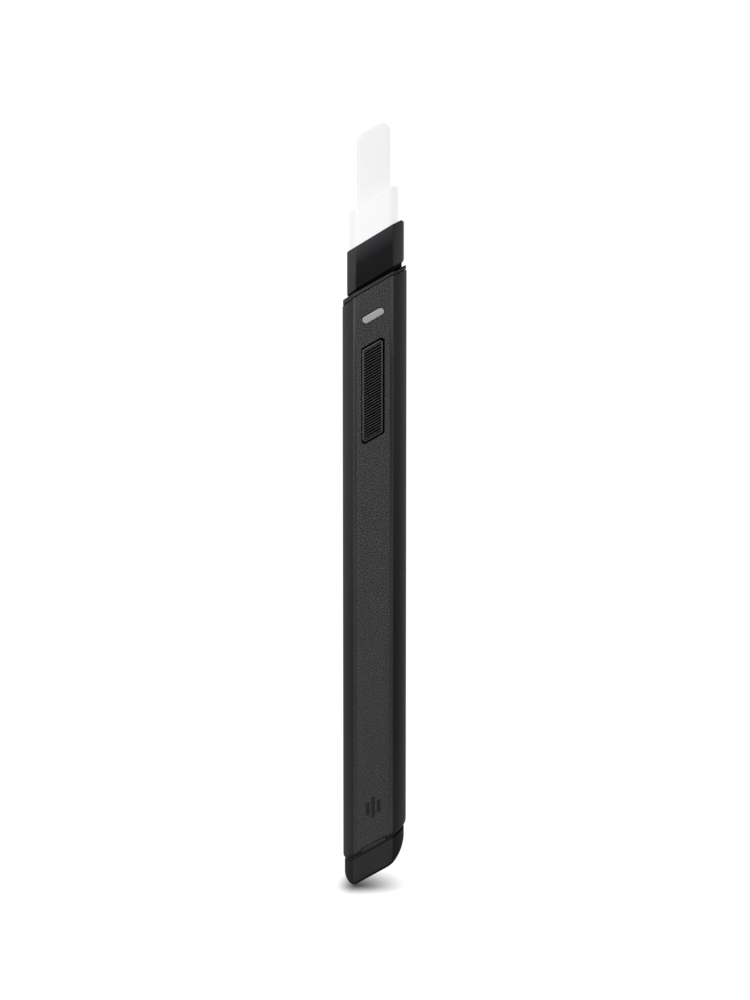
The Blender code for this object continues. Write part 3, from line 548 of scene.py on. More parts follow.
def rounded_polygon(corners, radii, steps=8):
    points = []
    for i, (x, z) in enumerate(corners):
        before_x, before_z = corners[i - 1][0] - x, corners[i - 1][1] - z
        after_x, after_z = [a - b for a, b in zip(corners[(i + 1) % len(corners)], (x, z))]
        before, after = math.hypot(before_x, before_z), math.hypot(after_x, after_z)
        before_x, before_z = before_x / before, before_z / before
        after_x, after_z = after_x / after, after_z / after
        corner = math.acos(max(-1, min(1, before_x * after_x + before_z * after_z)))
        radius = max(radii[i], 0.02)
        back, reach = radius / math.tan(corner / 2), radius / math.sin(corner / 2)
        middle_x, middle_z = before_x + after_x, before_z + after_z
        middle = math.hypot(middle_x, middle_z)
        centre_x, centre_z = x + middle_x / middle * reach, z + middle_z / middle * reach
        start = math.atan2(z + before_z * back - centre_z, x + before_x * back - centre_x)
        end = math.atan2(z + after_z * back - centre_z, x + after_x * back - centre_x)
        sweep = (end - start + math.pi) % (2 * math.pi) - math.pi
        for k in range(steps + 1):
            angle = start + sweep * k / steps
            points.append((centre_x + radius * math.cos(angle),
                           centre_z + radius * math.sin(angle)))
    return points


def facetted(inset=0.0):
    """Socket outline: flat front and back, a facet at each corner, gently rounded sides."""
    half_width, half_depth, half_flat = SOCKET
    side = 1.45                  # half depth of the side faces
    crease, bend = 0.05, 2.2     # radii at the front and side ends of a facet
    corners = [(half_flat, -half_depth), (half_width, -side), (half_width, side),
               (half_flat, half_depth), (-half_flat, half_depth), (-half_width, side),
               (-half_width, -side), (-half_flat, -half_depth)]
    points = rounded_polygon(corners, [crease, bend, bend, crease] * 2, 6)
    return [(x * (1 - inset / half_width) + SOCKET_X, y * (1 - inset / half_depth))
            for x, y in points]


def rounded_box(half_x, half_y, radius, inset=0.0, shift_x=0.0, steps=8):
    half_x, half_y, radius = half_x - inset, half_y - inset, max(radius - inset, 0.05)
    points = []
    for k, (side_x, side_y) in enumerate(((1, -1), (1, 1), (-1, 1), (-1, -1))):
        for i in range(steps + 1):
            angle = -math.pi / 2 + (k + i / steps) * math.pi / 2
            points.append((shift_x + side_x * (half_x - radius) + radius * math.cos(angle),
                           side_y * (half_y - radius) + radius * math.sin(angle)))
    return points


def leaning_box(half, radius, inset, centre):
    """Upright sides, ends on the slant, rounded corners; drawn in x and z."""
    half_x, half_z = half[0] - inset, half[1] - inset / COS30
    rise = SLANT * half_x
    corners = [(-half_x, -half_z - rise), (half_x, -half_z + rise),
               (half_x, half_z + rise), (-half_x, half_z - rise)]
    points = rounded_polygon(corners, [max(radius - inset, 0.05)] * 4)
    return [(x + centre[0], z + centre[1]) for x, z in points]


def pill(length, width, inset, centre_z, steps=16):
    """Round-ended bar lying along the slant, drawn in x and z."""
    radius, run = width / 2 - inset, (length - width) / 2
    points = []
    for side in (1, -1):
        for i in range(steps + 1):
            angle = math.pi * i / steps - math.pi / 2
            along = side * (run + radius * math.cos(angle))
            across = side * radius * math.sin(angle)
            points.append((along * COS30 - across * SIN30,
                           centre_z + along * SIN30 + across * COS30))
    return points


# ---------------------------------------------------------------- solids
def add_object(name, data):
    obj = bpy.data.objects.new(name, data)
    bpy.context.scene.collection.objects.link(obj)
    return obj


def add_mesh(bm, name, mat):
    mesh = bpy.data.meshes.new(name)
    bm.to_mesh(mesh)
    bm.free()
    mesh.materials.append(mat)
    return add_object(name, mesh)


def loft(rings, mat, name="cutter"):
    """Closed solid through rings of (x, y, z) in mm."""
    bm = bmesh.new()
    rows = [[bm.verts.new((x * MM, y * MM, z * MM)) for x, y, z in ring] for ring in rings]
    count = len(rows[0])
    for low, high in zip(rows, rows[1:]):
        for i in range(count):
            j = (i + 1) % count
            bm.faces.new((low[i], low[j], high[j], high[i]))
    bm.faces.new(list(reversed(rows[0])))
    bm.faces.new(rows[-1])
    bmesh.ops.recalc_face_normals(bm, faces=bm.faces)
    return add_mesh(bm, name, mat)


def no_drop(x, height):
    return 0.0


def stack(outline, levels, mat, name="cutter", slope=SLANT, drop=no_drop):
    """Lofts outline(inset) up z through levels of (height, inset[, slope of its own]).

    drop(x, height) lowers single points of a ring.
    """
    rings = []
    for height, inset, *own in levels:
        lean = own[0] if own else slope
        rings.append([(x, y, height + lean * x - drop(x, height)) for x, y in outline(inset)])
    return loft(rings, mat, name)


def prism(points, low, high, mat, **options):
    """Stack with one fixed outline."""
    return stack(lambda inset: points, [(low, 0), (high, 0)], mat, **options)


def slab(outline, levels, mat, name="cutter"):
    """Lofts outline(inset), drawn in x and z, along y through levels of (y, inset)."""
    return loft([[(x, y, z) for x, z in outline(inset)] for y, inset in levels], mat, name)


def slanted_bar(section, span, mat):
    """Bar with a section of (y, z) points, running over a span of x along the slant."""
    return loft([[(x, y, z + SLANT * x) for y, z in section] for x in span], mat)


def block(low, high, mat):
    corners = ((low[0], low[1]), (high[0], low[1]), (high[0], high[1]), (low[0], high[1]))
    return loft([[(x, y, z) for x, y in corners] for z in (low[2], high[2])], mat)


def pin_holes(radius, low, high, mat, sides=32):
    """A round cutter for each of the two contact pins."""
    rods = []
    for side in (-1, 1):
        angles = [2 * math.pi * i / sides for i in range(sides)]
        rods.append(loft([[(side * PIN_X + radius * math.cos(a), PIN_Y + radius * math.sin(a), z)
                           for a in angles] for z in (low, high)], mat))
    return rods


def corner_prism(left, right, low, high, radii, mat, sag=0.0, lift=0.0):
    """Slanted prism along y; radii run lower left, lower right, upper right, upper left.

    sag lowers the lower left corner and lift raises the upper left one.
    """
    corners = [(left, low - sag + SLANT * left), (right, low + SLANT * right),
               (right, high + SLANT * right), (left, high + lift + SLANT * left)]
    return slab(lambda inset: rounded_polygon(corners, radii, 10), [(-8, 0), (8, 0)], mat)


def quarter_curve(depth, height, steps):
    """Quarter ellipse from (depth, 0) to (0, height), as (inset, climb)."""
    angles = [math.pi / 2 * i / steps for i in range(steps + 1)]
    return [(depth * (1 - math.sin(a)), height * (1 - math.cos(a))) for a in angles]


def lower_edge(edge, depth, height, steps):
    """Stack levels of a rounded lower end."""
    return [(edge + climb, inset) for inset, climb in quarter_curve(depth, height, steps)]


def upper_edge(edge, depth, height, steps):
    """Stack levels of a rounded upper end."""
    return [(edge - fall, inset) for inset, fall in reversed(quarter_curve(depth, height, steps))]


def sliced(half, shift_x, shell, low, high, mat, name="cutter", edge=0.0, steps=44):
    """Barrel lofted along x, between the heights low(x) and high(x).

    shell is its inset, edge the rounding of its lower front and back edges.
    """
    half_width = half[0] - shell
    end = 0.006                  # keeps the first and last slice open
    rings = []
    for i in range(steps + 1):
        x = -math.cos(math.pi * i / steps) * (half_width - end)
        depth = depth_at(half, x, shell)
        x += shift_x
        bottom, top = low(x), high(x)
        if edge:
            size = min(edge, 0.6 * depth)
            front = [(x, -depth + inset, bottom + climb)
                     for inset, climb in quarter_curve(size, size, 6)]
            back = [(x, -y, z) for x, y, z in reversed(front)]
            ring = front + [(x, -depth, top), (x, depth, top)] + back
        else:
            ring = [(x, -depth, bottom), (x, -depth, top), (x, depth, top), (x, depth, bottom)]
        rings.append(ring)
    return loft(rings, mat, name)


def cut(target, *tools, operation="DIFFERENCE"):
    """Applies exact Booleans to the mesh and removes the tools."""
    for tool in tools:
        modifier = target.modifiers.new("cut", "BOOLEAN")
        modifier.operation = operation
        modifier.solver = "EXACT"
        modifier.object = tool
        modifier.material_mode = "TRANSFER"
        depsgraph = bpy.context.evaluated_depsgraph_get()
        mesh = bpy.data.meshes.new_from_object(target.evaluated_get(depsgraph))
        target.modifiers.clear()
        old = target.data
        target.data = mesh
        bpy.data.meshes.remove(old)
        tool_mesh = tool.data
        bpy.data.objects.remove(tool, do_unlink=True)
        bpy.data.meshes.remove(tool_mesh)


replaced = set()


def finish(obj, body, *nodes, slot, angle=32):
    bm = bmesh.new()
    bm.from_mesh(obj.data)
    bmesh.ops.remove_doubles(bm, verts=bm.verts, dist=1e-7)
    bmesh.ops.dissolve_degenerate(bm, dist=1e-8, edges=bm.edges)
    bm.to_mesh(obj.data)
    bm.free()
    obj.data.shade_smooth()
    obj.data.set_sharp_from_angle(angle=math.radians(angle))
    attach(obj, body)
    if nodes:
        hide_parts(*nodes)
        replaced.update(nodes)


# ---------------------------------------------------------------- uneven edges
def ease(value, low, high):
    t = min(max((value - low) / (high - low), 0.0), 1.0)
    return t * t * (3 - 2 * t)


def shoulder_drop(x, height):
    """The sleeve's top is lower at both sides than across the front."""
    if height < SLEEVE_TOP - 1:
        return 0.0
    return 0.26 * ease(-x, 3.75, 4.15) + 0.26 * ease(x, 3.75, 4.15)


def ring_drop(x, height):
    """The bezel follows the sleeve below; its top drops at the right and rises at the left."""
    if height < SLEEVE_TOP + 0.3:
        return shoulder_drop(x, height) - 0.08 * ease(-x, 3.75, 4.15)
    return 0.28 * ease(x, 3.75, 4.6) - 0.22 * ease(-x, 2.8, 4.4)


def neck_drop(x, height):
    """The neck's lower edge rises toward the left."""
    return -0.22 * ease(-x, 2.4, 4.2) if height < SOCKET_BOTTOM else 0.0


def socket_drop(x, height):
    """Both edges of the socket sag toward the left; the top recovers at its far left."""
    if height > SOCKET_TOP - 1:
        return 0.17 * ease(-x, -3.0, 0.5) - 0.12 * ease(-x, 3.2, 4.6)
    return 0.34 * ease(SOCKET_X - x, 2.0, 5.0) if height < SOCKET_BOTTOM + 1 else 0.0


# ---------------------------------------------------------------- barrel sleeve
def build_foot_lip():
    """Dark lip that fills the gap between the sleeve and the cap.

    Its dark colour is painted shade, for the shadow under the sleeve's rounded lower edge.
    """
    lip = (5.95, CAP_DEPTH, CAP_FLAT)
    part = stack(lambda inset: barrel(lip, 0.07 + inset, -0.13),
                 [(SLEEVE_BOTTOM + 1.4, 0), (CAP_TOP + 0.10, 0), (CAP_TOP + 0.05, 0.04)],
                 MAT_LIP, "foot_lip")
    cut(part, prism(bore(WALL + 0.35), -4, 30, MAT_LIP, slope=0))
    finish(part, "handle", slot="shell")


def build_sleeve():
    levels = (lower_edge(SLEEVE_BOTTOM, EDGE_DEPTH, EDGE_HEIGHT, 7)
              + upper_edge(SLEEVE_TOP, 0.10, 0.10, 3))
    part = stack(sleeve, levels, MAT_SHELL, "sleeve_shell", drop=shoulder_drop)
    opening = COVER_HALF + 0.02
    cut(part, prism(bore(WALL), -4, 134, MAT_INNER, slope=0),
        block((-opening, -8, -6), (opening, -3.5, 134), MAT_SHELL))
    finish(part, "handle", "body_sleeve", slot="shell")


# ---------------------------------------------------------------- textured front strip
NOTCH_SPAN = (-2.45, 2.55)       # x of the notch in the lower edge
NOTCH_FLOOR = -5.14              # y
NOTCH_TOP = SLEEVE_BOTTOM + 1.05
STROKE_HALF = 0.36               # half width of a pressed stroke
STROKE_RISE = 0.42


def strip_outline(inset):
    half = COVER_HALF - inset
    return [(-half, SLEEVE_BOTTOM + 0.02 - SLANT * half),
            (half, SLEEVE_BOTTOM + 0.02 + SLANT * half),
            (half, SLEEVE_TOP - inset + SLANT * half),
            (-half, SLEEVE_TOP - inset - SLANT * half)]


def button_hole():
    # the walls of the hole take the near-black gap material: painted shade round the button
    centre = (-0.03, BUTTON_Z - 0.03)
    return slab(lambda inset: leaning_box((2.27, 9.615), 0.6, inset, centre),
                [(-7, -0.2), (-5.42, -0.05), (-5.36, -0.01), (-5.3, 0), (-4.0, 0)], MAT_GAP_SHADE)


def lens_hole():
    # the walls of the hole take the near-black gap material: painted shade round the light window
    return slab(lambda inset: pill(LENS_LENGTH + 0.1, LENS_WIDTH + 0.1, inset, LENS_Z),
                [(-7, -0.2), (-5.42, -0.03), (-5.38, -0.01), (-5.34, 0), (-4.0, 0)], MAT_GAP_SHADE)


def notch():
    section = [(-6.0, SLEEVE_BOTTOM - 0.6), (NOTCH_FLOOR, SLEEVE_BOTTOM - 0.6),
               (NOTCH_FLOOR, NOTCH_TOP - 0.10), (NOTCH_FLOOR - 0.03, NOTCH_TOP - 0.03),
               (NOTCH_FLOOR - 0.09, NOTCH_TOP), (-6.0, NOTCH_TOP)]
    return slanted_bar(section, NOTCH_SPAN, MAT_NOTCH)


def strip_foot(span):
    """Rounds the strip's lower edge like the sleeve's, beside the notch."""
    below = SLEEVE_BOTTOM - 0.5
    section = [(-6.0, below), (FRONT + EDGE_DEPTH, below)]
    section += [(FRONT + inset, SLEEVE_BOTTOM + climb)
                for inset, climb in quarter_curve(EDGE_DEPTH, EDGE_HEIGHT, 7)]
    section.append((-6.0, SLEEVE_BOTTOM + EDGE_HEIGHT + 0.001))
    return slanted_bar(section, span, MAT_SHELL)


def stroke(centre_x, centre_z, tall):
    """Pressed slanted stroke of half height tall."""
    def outline(inset):
        side = STROKE_HALF - inset
        corners = [(-side, -tall + inset), (side, -tall + STROKE_RISE + inset),
                   (side, tall - inset), (-side, tall - STROKE_RISE - inset)]
        return [(x + centre_x, z + centre_z) for x, z in rounded_polygon(corners, [0.08] * 4, 4)]

    return slab(outline, [(-6, 0), (-5.41, 0), (-5.33, 0.02)], MAT_MARK)


def build_front_strip():
    part = slab(strip_outline,
                [(FRONT, 0.045), (-5.39, 0.02), (-5.37, 0.006), (-5.35, 0), (-4.32, 0)],
                MAT_COVER, "front_strip")
    tools = [button_hole(), lens_hole(), notch()]
    for span in ((-COVER_HALF - 0.2, NOTCH_SPAN[0] - 0.005),
                 (NOTCH_SPAN[1] + 0.005, COVER_HALF + 0.2)):
        tools.append(strip_foot(span))
    for place, tall in ((-1, 1.5), (0, 2.3), (1, 1.5)):
        tools.append(stroke(place * 1.12, 16.4 + place * 0.35, tall))
    cut(part, *tools)
    finish(part, "handle", "front_cover", slot="cover")


# ---------------------------------------------------------------- bezel ring and its well
WELL = (4.45, 2.95, 1.0)         # half width, half depth, corner radius
WELL_FLOOR = 117.4
RECEIVER_BOTTOM = 116.5


def build_bezel():
    part = stack(lambda inset: sleeve(0.10 + inset),
                 [(SLEEVE_TOP + 0.04, 0.40), (SLEEVE_TOP + 0.12, 0.16), (SLEEVE_TOP + 0.22, 0)]
                 + upper_edge(BEZEL_TOP, 0.06, 0.06, 3), MAT_BEZEL, "bezel_ring", drop=ring_drop)
    cut(part, corner_prism(-6.30, 6.30, SLEEVE_TOP - 2, BEZEL_TOP + 0.02,
                           [0.05, 0.05, 0.12, 0.55], MAT_BEZEL, lift=0.30),
        operation="INTERSECT")
    # painted shade: a dark band under the rim at the right, then one in the seam at the left
    band = prism(sleeve(0.16), BEZEL_TOP - 0.40, BEZEL_TOP - 0.01, MAT_GAP_SHADE)
    cut(band, block((4.3, -8, 118), (8, 8, 128), MAT_GAP_SHADE), operation="INTERSECT")
    cut(part, band, operation="UNION")
    band = prism(sleeve(0.15), SLEEVE_TOP - 0.10, SLEEVE_TOP + 0.25, MAT_GAP_SHADE, drop=ring_drop)
    cut(band, block((-8, -8, 114), (-3.95, 8, 122), MAT_GAP_SHADE), operation="INTERSECT")
    cut(part, band, operation="UNION")
    receiver = stack(lambda inset: bore(WALL + 0.08 + inset),
                     [(RECEIVER_BOTTOM, 0.15), (RECEIVER_BOTTOM + 0.15, 0), (SLEEVE_TOP + 0.5, 0)],
                     MAT_BEZEL)
    cut(part, receiver, operation="UNION")
    well = stack(lambda inset: rounded_box(*WELL, inset),
                 [(WELL_FLOOR, 0), (BEZEL_TOP - 0.3, 0), (BEZEL_TOP - 0.08, -0.07),
                  (BEZEL_TOP + 0.06, -0.3), (132, -0.3, 0)], MAT_INNER)
    cut(part, well, *pin_holes(0.62, 108, 126, MAT_INNER))
    finish(part, "handle", "tip_receiver", slot="bezel")


# ---------------------------------------------------------------- tip: socket
TENON = (4.30, 2.80, 0.95)       # half width, half depth, corner radius
TENON_BOTTOM = 118.5
TENON_GROOVE = (119.7, 120.5)
GROOVE_DEPTH = 0.42
NECK = (5.36, SOCKET[1] - 0.42, 3.5)
NECK_LOW = 121.50


def build_socket():
    part = stack(facetted, lower_edge(SOCKET_BOTTOM, 0.12, 0.14, 4)
                 + upper_edge(SOCKET_TOP, 0.12, 0.14, 4),
                 MAT_SOCKET, "socket_shell", drop=socket_drop)
    cut(part, corner_prism(SOCKET_X - 5.63, SOCKET_X + 5.63, SOCKET_BOTTOM - 0.01,
                           SOCKET_TOP + 0.01, [0.15, 1.3, 0.45, 0.5], MAT_SOCKET, sag=0.40),
        operation="INTERSECT")
    groove_low, groove_high = TENON_GROOVE
    tenon = stack(lambda inset: rounded_box(*TENON, inset),
                  [(TENON_BOTTOM, 0.25), (TENON_BOTTOM + 0.08, 0.10), (TENON_BOTTOM + 0.25, 0),
                   (groove_low, 0), (groove_low, GROOVE_DEPTH), (groove_high, GROOVE_DEPTH),
                   (groove_high, 0), (SOCKET_BOTTOM + 1.5, 0)], MAT_SOCKET)
    cut(part, tenon, operation="UNION")
    # the neck's near-black colour is painted shade in the gap under the socket
    neck = stack(lambda inset: barrel(NECK, inset, SOCKET_X - 0.16),
                 [(NECK_LOW, 0.08), (NECK_LOW + 0.08, 0), (SOCKET_BOTTOM + 0.9, 0)],
                 MAT_NECK, drop=neck_drop)
    cut(neck, prism(facetted(0.14), NECK_LOW - 2, SOCKET_BOTTOM + 3, MAT_NECK),
        operation="INTERSECT")
    cut(part, neck, operation="UNION")
    collar_hole = stack(lambda inset: barrel(COLLAR, inset - 0.09, COLLAR_X),
                        [(COLLAR_BOTTOM - 0.15, 0), (SOCKET_TOP - 0.10, 0),
                         (SOCKET_TOP + 0.02, -0.06), (142, -0.06)], MAT_SOCKET)
    core = prism(rounded_box(3.2, 1.75, 0.6), 119.95, 128.2, MAT_SOCKET)
    cut(part, collar_hole, core, *pin_holes(0.74, 113.2, 122.7, MAT_SOCKET))
    finish(part, "tip", "tip_socket", slot="socket")


# ---------------------------------------------------------------- tip: ceramic collar
BLADE_GAP = 0.07


def build_collar():
    part = stack(lambda inset: barrel(COLLAR, inset, COLLAR_X, crease=2.0),
                 [(COLLAR_BOTTOM, 0.12), (COLLAR_BOTTOM + 0.2, 0), (131, 0)]
                 + upper_edge(COLLAR_TOP, 0.24, 0.26, 6), MAT_COLLAR, "ceramic_collar")
    cut(part, corner_prism(COLLAR_X - 4.86, COLLAR_X + 4.86, COLLAR_BOTTOM - 0.05,
                           COLLAR_TOP + 0.05, [0.05, 0.05, 0.65, 0.2], MAT_COLLAR),
        operation="INTERSECT")
    slot_half = BLADE_HALF + BLADE_GAP
    slot_depth = BLADE_HALF_THICK + BLADE_GAP
    cut(part, block((BLADE_X - slot_half, -slot_depth, BLADE_SHOULDER - BLADE_GAP),
                    (BLADE_X + slot_half, slot_depth, 147), MAT_COLLAR),
        block((BLADE_X - SHANK_HALF - BLADE_GAP, -slot_depth, 119.2),
              (BLADE_X + SHANK_HALF + BLADE_GAP, slot_depth, 132.2), MAT_COLLAR))
    finish(part, "tip", "heat_collar", slot="collar")


# ---------------------------------------------------------------- tip: blade
BLADE_TIP = 152.15
BLADE_ROOT = 124.7
# front half of the ground edge: y, inset
BLADE_GRIND = [(-BLADE_HALF_THICK, 0.62), (-0.435, 0.52), (-0.26, 0.09), (-0.20, 0.025),
               (-0.12, 0.0)]


def blade_outline(inset):
    left, right = BLADE_X - BLADE_HALF + inset, BLADE_X + BLADE_HALF - inset
    shank_left, shank_right = BLADE_X - SHANK_HALF, BLADE_X + SHANK_HALF
    tip = BLADE_TIP - inset / COS30
    corners = [(shank_left, BLADE_ROOT), (shank_right, BLADE_ROOT),
               (shank_right, BLADE_SHOULDER), (right, BLADE_SHOULDER),
               (right, tip + SLANT * right), (left, tip + SLANT * left),
               (left, BLADE_SHOULDER), (shank_left, BLADE_SHOULDER)]
    return rounded_polygon(corners, [0.3, 0.3, 0.2, 0.3, 1.46 - inset, 2.1 - inset, 0.3, 0.2], 14)


def build_blade():
    levels = BLADE_GRIND + [(-y, inset) for y, inset in reversed(BLADE_GRIND)]
    part = slab(blade_outline, levels, MAT_BLADE, "blade_ground")
    finish(part, "tip", "ceramic_blade", slot="blade", angle=50)


def build_cement():
    """Cement line where the blade leaves the collar."""
    part = stack(lambda inset: rounded_box(BLADE_HALF + 0.10, BLADE_HALF_THICK + 0.10, 0.2,
                                           inset, BLADE_X, 5),
                 [(COLLAR_TOP - 0.7, 0.035), (COLLAR_TOP - 0.02, 0.035), (COLLAR_TOP - 0.01, 0.0),
                  (COLLAR_TOP + 0.03, 0.02), (COLLAR_TOP + 0.06, 0.075)],
                 MAT_CEMENT, "blade_cement")
    cut(part, block((BLADE_X - BLADE_HALF - 0.005, -BLADE_HALF_THICK - 0.005, 120),
                    (BLADE_X + BLADE_HALF + 0.005, BLADE_HALF_THICK + 0.005, 150), MAT_CEMENT))
    finish(part, "tip", slot="collar")


# ---------------------------------------------------------------- light window
def build_lens():
    part = slab(lambda inset: pill(LENS_LENGTH - 0.04, LENS_WIDTH - 0.14, inset, LENS_Z - 0.07),
                [(-5.39, 0.22), (-5.385, 0.10), (-5.36, 0.03), (-5.32, 0), (-4.22, 0),
                 (-4.22, -0.42), (-3.80, -0.42), (-3.80, 0.15), (-2.85, 0.15)],
                MAT_LENS, "light_window")
    finish(part, "handle", "led_lens", slot="lens")


# ---------------------------------------------------------------- ribbed push button
RIBS = 32
RIB_PITCH = 0.5497
RIB_SPAN = (-1.76, 1.58)         # x
RIBS_Z = BUTTON_Z - 0.03
GROOVE_FALL = 0.26


def build_button():
    part = slab(lambda inset: leaning_box((2.03, 9.25), 0.5, inset, (-0.10, BUTTON_Z - 0.10)),
                [(BUTTON_FRONT, 0.16), (BUTTON_FRONT + 0.018, 0.08), (BUTTON_FRONT + 0.055, 0.02),
                 (BUTTON_FRONT + 0.12, 0), (-4.2, 0), (-4.2, -0.5), (-3.8, -0.5)],
                MAT_BUTTON, "ribbed_button")
    half_run = RIBS * RIB_PITCH / 2
    steps = RIBS * 10
    section = [(BUTTON_FRONT - 0.3, RIBS_Z - half_run)]
    for i in range(steps + 1):
        along = -half_run + 2 * half_run * i / steps
        dip = 0.5 + 0.5 * math.cos(2 * math.pi * along / RIB_PITCH)
        section.append((BUTTON_FRONT + 0.03 + GROOVE_FALL * dip ** 1.6, RIBS_Z + along))
    section.append((BUTTON_FRONT - 0.3, RIBS_Z + half_run))
    cut(part, slanted_bar(section, RIB_SPAN, MAT_BUTTON))
    finish(part, "button", "power_button", slot="button", angle=40)


# ---------------------------------------------------------------- end cap, nose and port
CAP = ((CAP_RIGHT - CAP_LEFT) / 2, CAP_DEPTH, CAP_FLAT)
CAP_X = (CAP_LEFT + CAP_RIGHT) / 2
CAP_PLANE = 2.15                 # height of the slanted underside
CAP_LEFT_RADIUS = 1.86
CAP_RIGHT_RADIUS = 6.80
NOSE = (4.98, 3.98, 3.10)
NOSE_X = -0.12
NOSE_LOW = 6.35
NOSE_HIGH = 17.5


def cap_floor(x, shell=0.0):
    """Height of the cap's underside: a slanted plane turning up in an arc at each side."""
    left, right = CAP_LEFT + shell, CAP_RIGHT - shell
    plane = CAP_PLANE + shell / COS30
    left_radius = max(CAP_LEFT_RADIUS - shell, 0.1)
    right_radius = CAP_RIGHT_RADIUS - shell
    x = min(max(x, left + 1e-6), right - 1e-6)
    left_x, right_x = left + left_radius, right - right_radius
    if x < left_x + 0.5 * left_radius:
        left_z = plane + SLANT * left_x + left_radius / COS30
        return left_z - math.sqrt(max(left_radius * left_radius - (x - left_x) ** 2, 0))
    if x > right_x + 0.5 * right_radius:
        right_z = plane + SLANT * right_x + right_radius / COS30
        return right_z - math.sqrt(max(right_radius * right_radius - (x - right_x) ** 2, 0))
    return plane + SLANT * x


def build_cap():
    part = sliced(CAP, CAP_X, 0, cap_floor, lambda x: CAP_TOP + SLANT * x, MAT_CAP,
                  "foot_cap", edge=0.9, steps=60)
    cut(part, sliced(CAP, CAP_X, CAP_WALL, lambda x: cap_floor(x, CAP_WALL), lambda x: 20,
                     MAT_CAP))
    finish(part, "end_cap_body", "end_cap", slot="cap", angle=28)


def build_nose():
    part = sliced(NOSE, NOSE_X, 0, lambda x: max(NOSE_LOW, cap_floor(x, CAP_WALL + 0.17)),
                  lambda x: NOSE_HIGH, MAT_INNER, "nose_block", edge=0.25)
    port = stack(lambda inset: rounded_box(*PORT, inset - 0.07, PORT_X),
                 [(2, -0.2), (NOSE_LOW - 0.02, -0.2), (NOSE_LOW + 0.15, -0.03),
                  (NOSE_LOW + 0.2, 0), (25, 0)], MAT_INNER, slope=0)
    cut(part, port, block((-4.1, 1.66, 8.3), (3.9, 2.66, 25), MAT_INNER))
    finish(part, "handle", "port_nose", slot="inner")


def build_port_liner():
    part = stack(lambda inset: rounded_box(*PORT, inset, PORT_X),
                 [(6.55, 0.08), (6.60, 0.02), (6.68, 0), (13.85, 0)],
                 MAT_STEEL, "usb_liner", slope=0)
    cut(part, stack(lambda inset: rounded_box(*PORT, 0.3 + inset, PORT_X),
                    [(2, -0.08), (6.6, -0.08), (6.72, 0), (13.5, 0)], MAT_STEEL, slope=0))
    finish(part, "handle", "usb_shell", slot="steel")


build_foot_lip()
build_sleeve()
build_front_strip()
build_bezel()
build_socket()
build_collar()
build_blade()
build_cement()
build_lens()
build_button()
build_cap()
build_nose()
build_port_liner()

# the CAD pieces that stay get softened edges, apart from wires and springs
for name, obj in NODES.items():
    if name in replaced or "lead" in name or "spring" in name:
        continue
    bevel = obj.modifiers.new("soft_edges", "BEVEL")
    bevel.width = 0.04 * MM
    bevel.segments = 2
    bevel.limit_method = "ANGLE"
    bevel.angle_limit = math.radians(40)

# ---------------------------------------------------------------- floor
# painted soft shadow under the foot, in mm: low reach, centre, high reach
SHADE_X = (-7.7, -3.6, 7.0)
SHADE_Y = (-11.5, -4.56, 8.5)
# distance from the centre of the shade, brightness
SHADE_TONE = [(0.0, 0.06), (0.12, 0.11), (0.30, 0.26), (0.45, 0.42), (0.60, 0.61),
              (0.75, 0.79), (0.90, 0.94), (1.0, 1.0)]


def shade_distance(tree, value, low, centre, high):
    """0 at the centre and 1 at the reach on either side."""
    return calc(tree, "MAXIMUM", ramp_mm(tree, value, span=(low, centre), to=(1.0, 0.0)),
                ramp_mm(tree, value, span=(centre, high), to=(0.0, 1.0)))


def floor_material():
    """Pale floor with one painted soft shadow; only the camera sees it, and only from above."""
    material = bpy.data.materials.new("floor_pale")
    tree, output = empty_tree(material, "OutputMaterial")
    geometry = add_node(tree, "NewGeometry", {}).outputs
    axes = split(tree, geometry["Position"])
    pair = add_node(tree, "CombineXYZ", {0: shade_distance(tree, axes["X"], *SHADE_X),
                                         1: shade_distance(tree, axes["Y"], *SHADE_Y)})
    size = add_node(tree, "VectorMath", {0: pair.outputs[0]}, operation="LENGTH")
    glow = add_node(tree, "Emission", {
        "Strength": 1.03, "Color": tone_curve(tree, size.outputs["Value"], SHADE_TONE)})
    clear = add_node(tree, "BsdfTransparent", {}).outputs[0]
    above = add_node(tree, "MixShader", {
        0: geometry["Backfacing"], 1: glow.outputs[0], 2: clear})
    camera_ray = add_node(tree, "LightPath", {}).outputs["Is Camera Ray"]
    seen = add_node(tree, "MixShader", {0: camera_ray, 1: clear, 2: above.outputs[0]})
    feed(tree, output, {0: seen.outputs[0]})
    return material


def build_floor():
    bm = bmesh.new()
    bmesh.ops.create_grid(bm, x_segments=2, y_segments=2, size=6.0)
    floor = add_mesh(bm, "floor", floor_material())
    floor.location.z = -0.00002
    # pulling the end cap lifts the object off the floor: the floor keeps under the cap
    follow = floor.constraints.new("COPY_LOCATION")
    follow.target = frame["bodies"]["end_cap_body"]
    follow.use_x = False
    follow.use_y = False
    follow.use_offset = True


build_floor()

# ---------------------------------------------------------------- world
# brightness of the surroundings along each axis: direction component, level
LIGHT_X = [(-1.0, 1.6), (-0.85, 0.85), (-0.5, 0.75), (0.0, 0.8), (0.5, 0.85), (0.85, 1.0),
           (1.0, 0.72)]
LIGHT_Y = [(-1.0, 0.16), (-0.7, 0.16), (-0.3, 0.18), (0.0, 0.22), (0.2, 0.37), (0.45, 0.56),
           (0.7, 0.54), (1.0, 0.50)]
LIGHT_Z = [(-1.0, 0.2), (-0.5, 0.5), (-0.1, 0.8), (0.5, 0.95), (1.0, 1.2)]


def peak_of(points):
    return max(level for _, level in points)


def direction_curve(tree, component, points):
    """Curve over a direction component from -1 to 1, scaled so that its peak is 1."""
    peak = peak_of(points)
    stations = [((position + 1) / 2, level / peak) for position, level in points]
    half = calc(tree, "MULTIPLY_ADD", component, 0.5, 0.5)
    return tone_curve(tree, half, stations, "B_SPLINE")


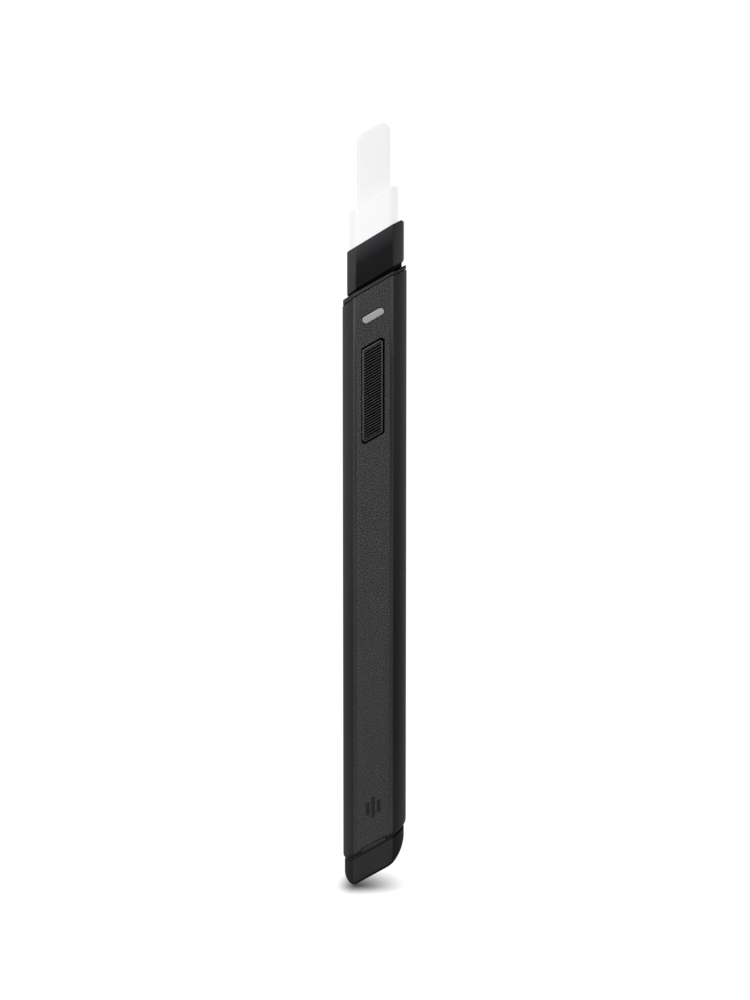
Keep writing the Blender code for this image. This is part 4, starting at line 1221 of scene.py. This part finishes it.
def build_world():
    """White to the camera, a soft wrap-round studio to everything else."""
    world = bpy.data.worlds.new("studio")
    bpy.context.scene.world = world
    tree, output = empty_tree(world, "OutputWorld")
    axes = split(tree, coordinates(tree)["Generated"])
    colour = direction_curve(tree, axes["Y"], LIGHT_Y)
    for axis, points in (("Z", LIGHT_Z), ("X", LIGHT_X)):
        product = add_node(tree, "Mix", {
            "Factor": 1.0, "A": colour, "B": direction_curve(tree, axes[axis], points)},
            data_type="RGBA", blend_type="MULTIPLY")
        colour = product.outputs["Result"]
    strength = math.prod(peak_of(points) for points in (LIGHT_X, LIGHT_Y, LIGHT_Z))
    studio = add_node(tree, "Background", {"Color": colour, "Strength": strength})
    white = add_node(tree, "Background", {"Color": (1, 1, 1, 1), "Strength": 1.05})
    camera_ray = add_node(tree, "LightPath", {}).outputs["Is Camera Ray"]
    mix = add_node(tree, "MixShader", {
        0: camera_ray, 1: studio.outputs[0], 2: white.outputs[0]})
    feed(tree, output, {0: mix.outputs[0]})


build_world()


# ---------------------------------------------------------------- lights and camera, in metres
def aim_at(obj, target):
    obj.rotation_euler = (Vector(target) - obj.location).to_track_quat("-Z", "Y").to_euler()


def softbox(name, place, size, power):
    """Square area light aimed at the middle of the tool."""
    data = bpy.data.lights.new(name, "AREA")
    data.shape = "RECTANGLE"
    data.size = size
    data.size_y = size
    data.energy = power
    data.spread = math.radians(180)
    light = add_object(name, data)
    light.location = place
    aim_at(light, (0, 0, 0.08))


def build_camera():
    turn = math.radians(2.9)     # swing toward the right
    away = 0.408
    data = bpy.data.cameras.new("camera")
    camera = add_object("camera", data)
    camera.location = (away * math.sin(turn), -away * math.cos(turn), 0.120)
    aim_at(camera, (0, 0, 0.07807))
    data.sensor_width = 36.0
    data.lens = 73.46
    data.shift_x = 0.00045
    data.clip_start = 0.01
    data.clip_end = 50
    bpy.context.scene.camera = camera


softbox("key_left", place=(-0.68, -0.90, 0.42), size=0.66, power=10.6)
softbox("fill_right", place=(0.64, -0.92, 0.36), size=0.72, power=5.0)
build_camera()
bpy.context.scene.view_settings.view_transform = "Standard"
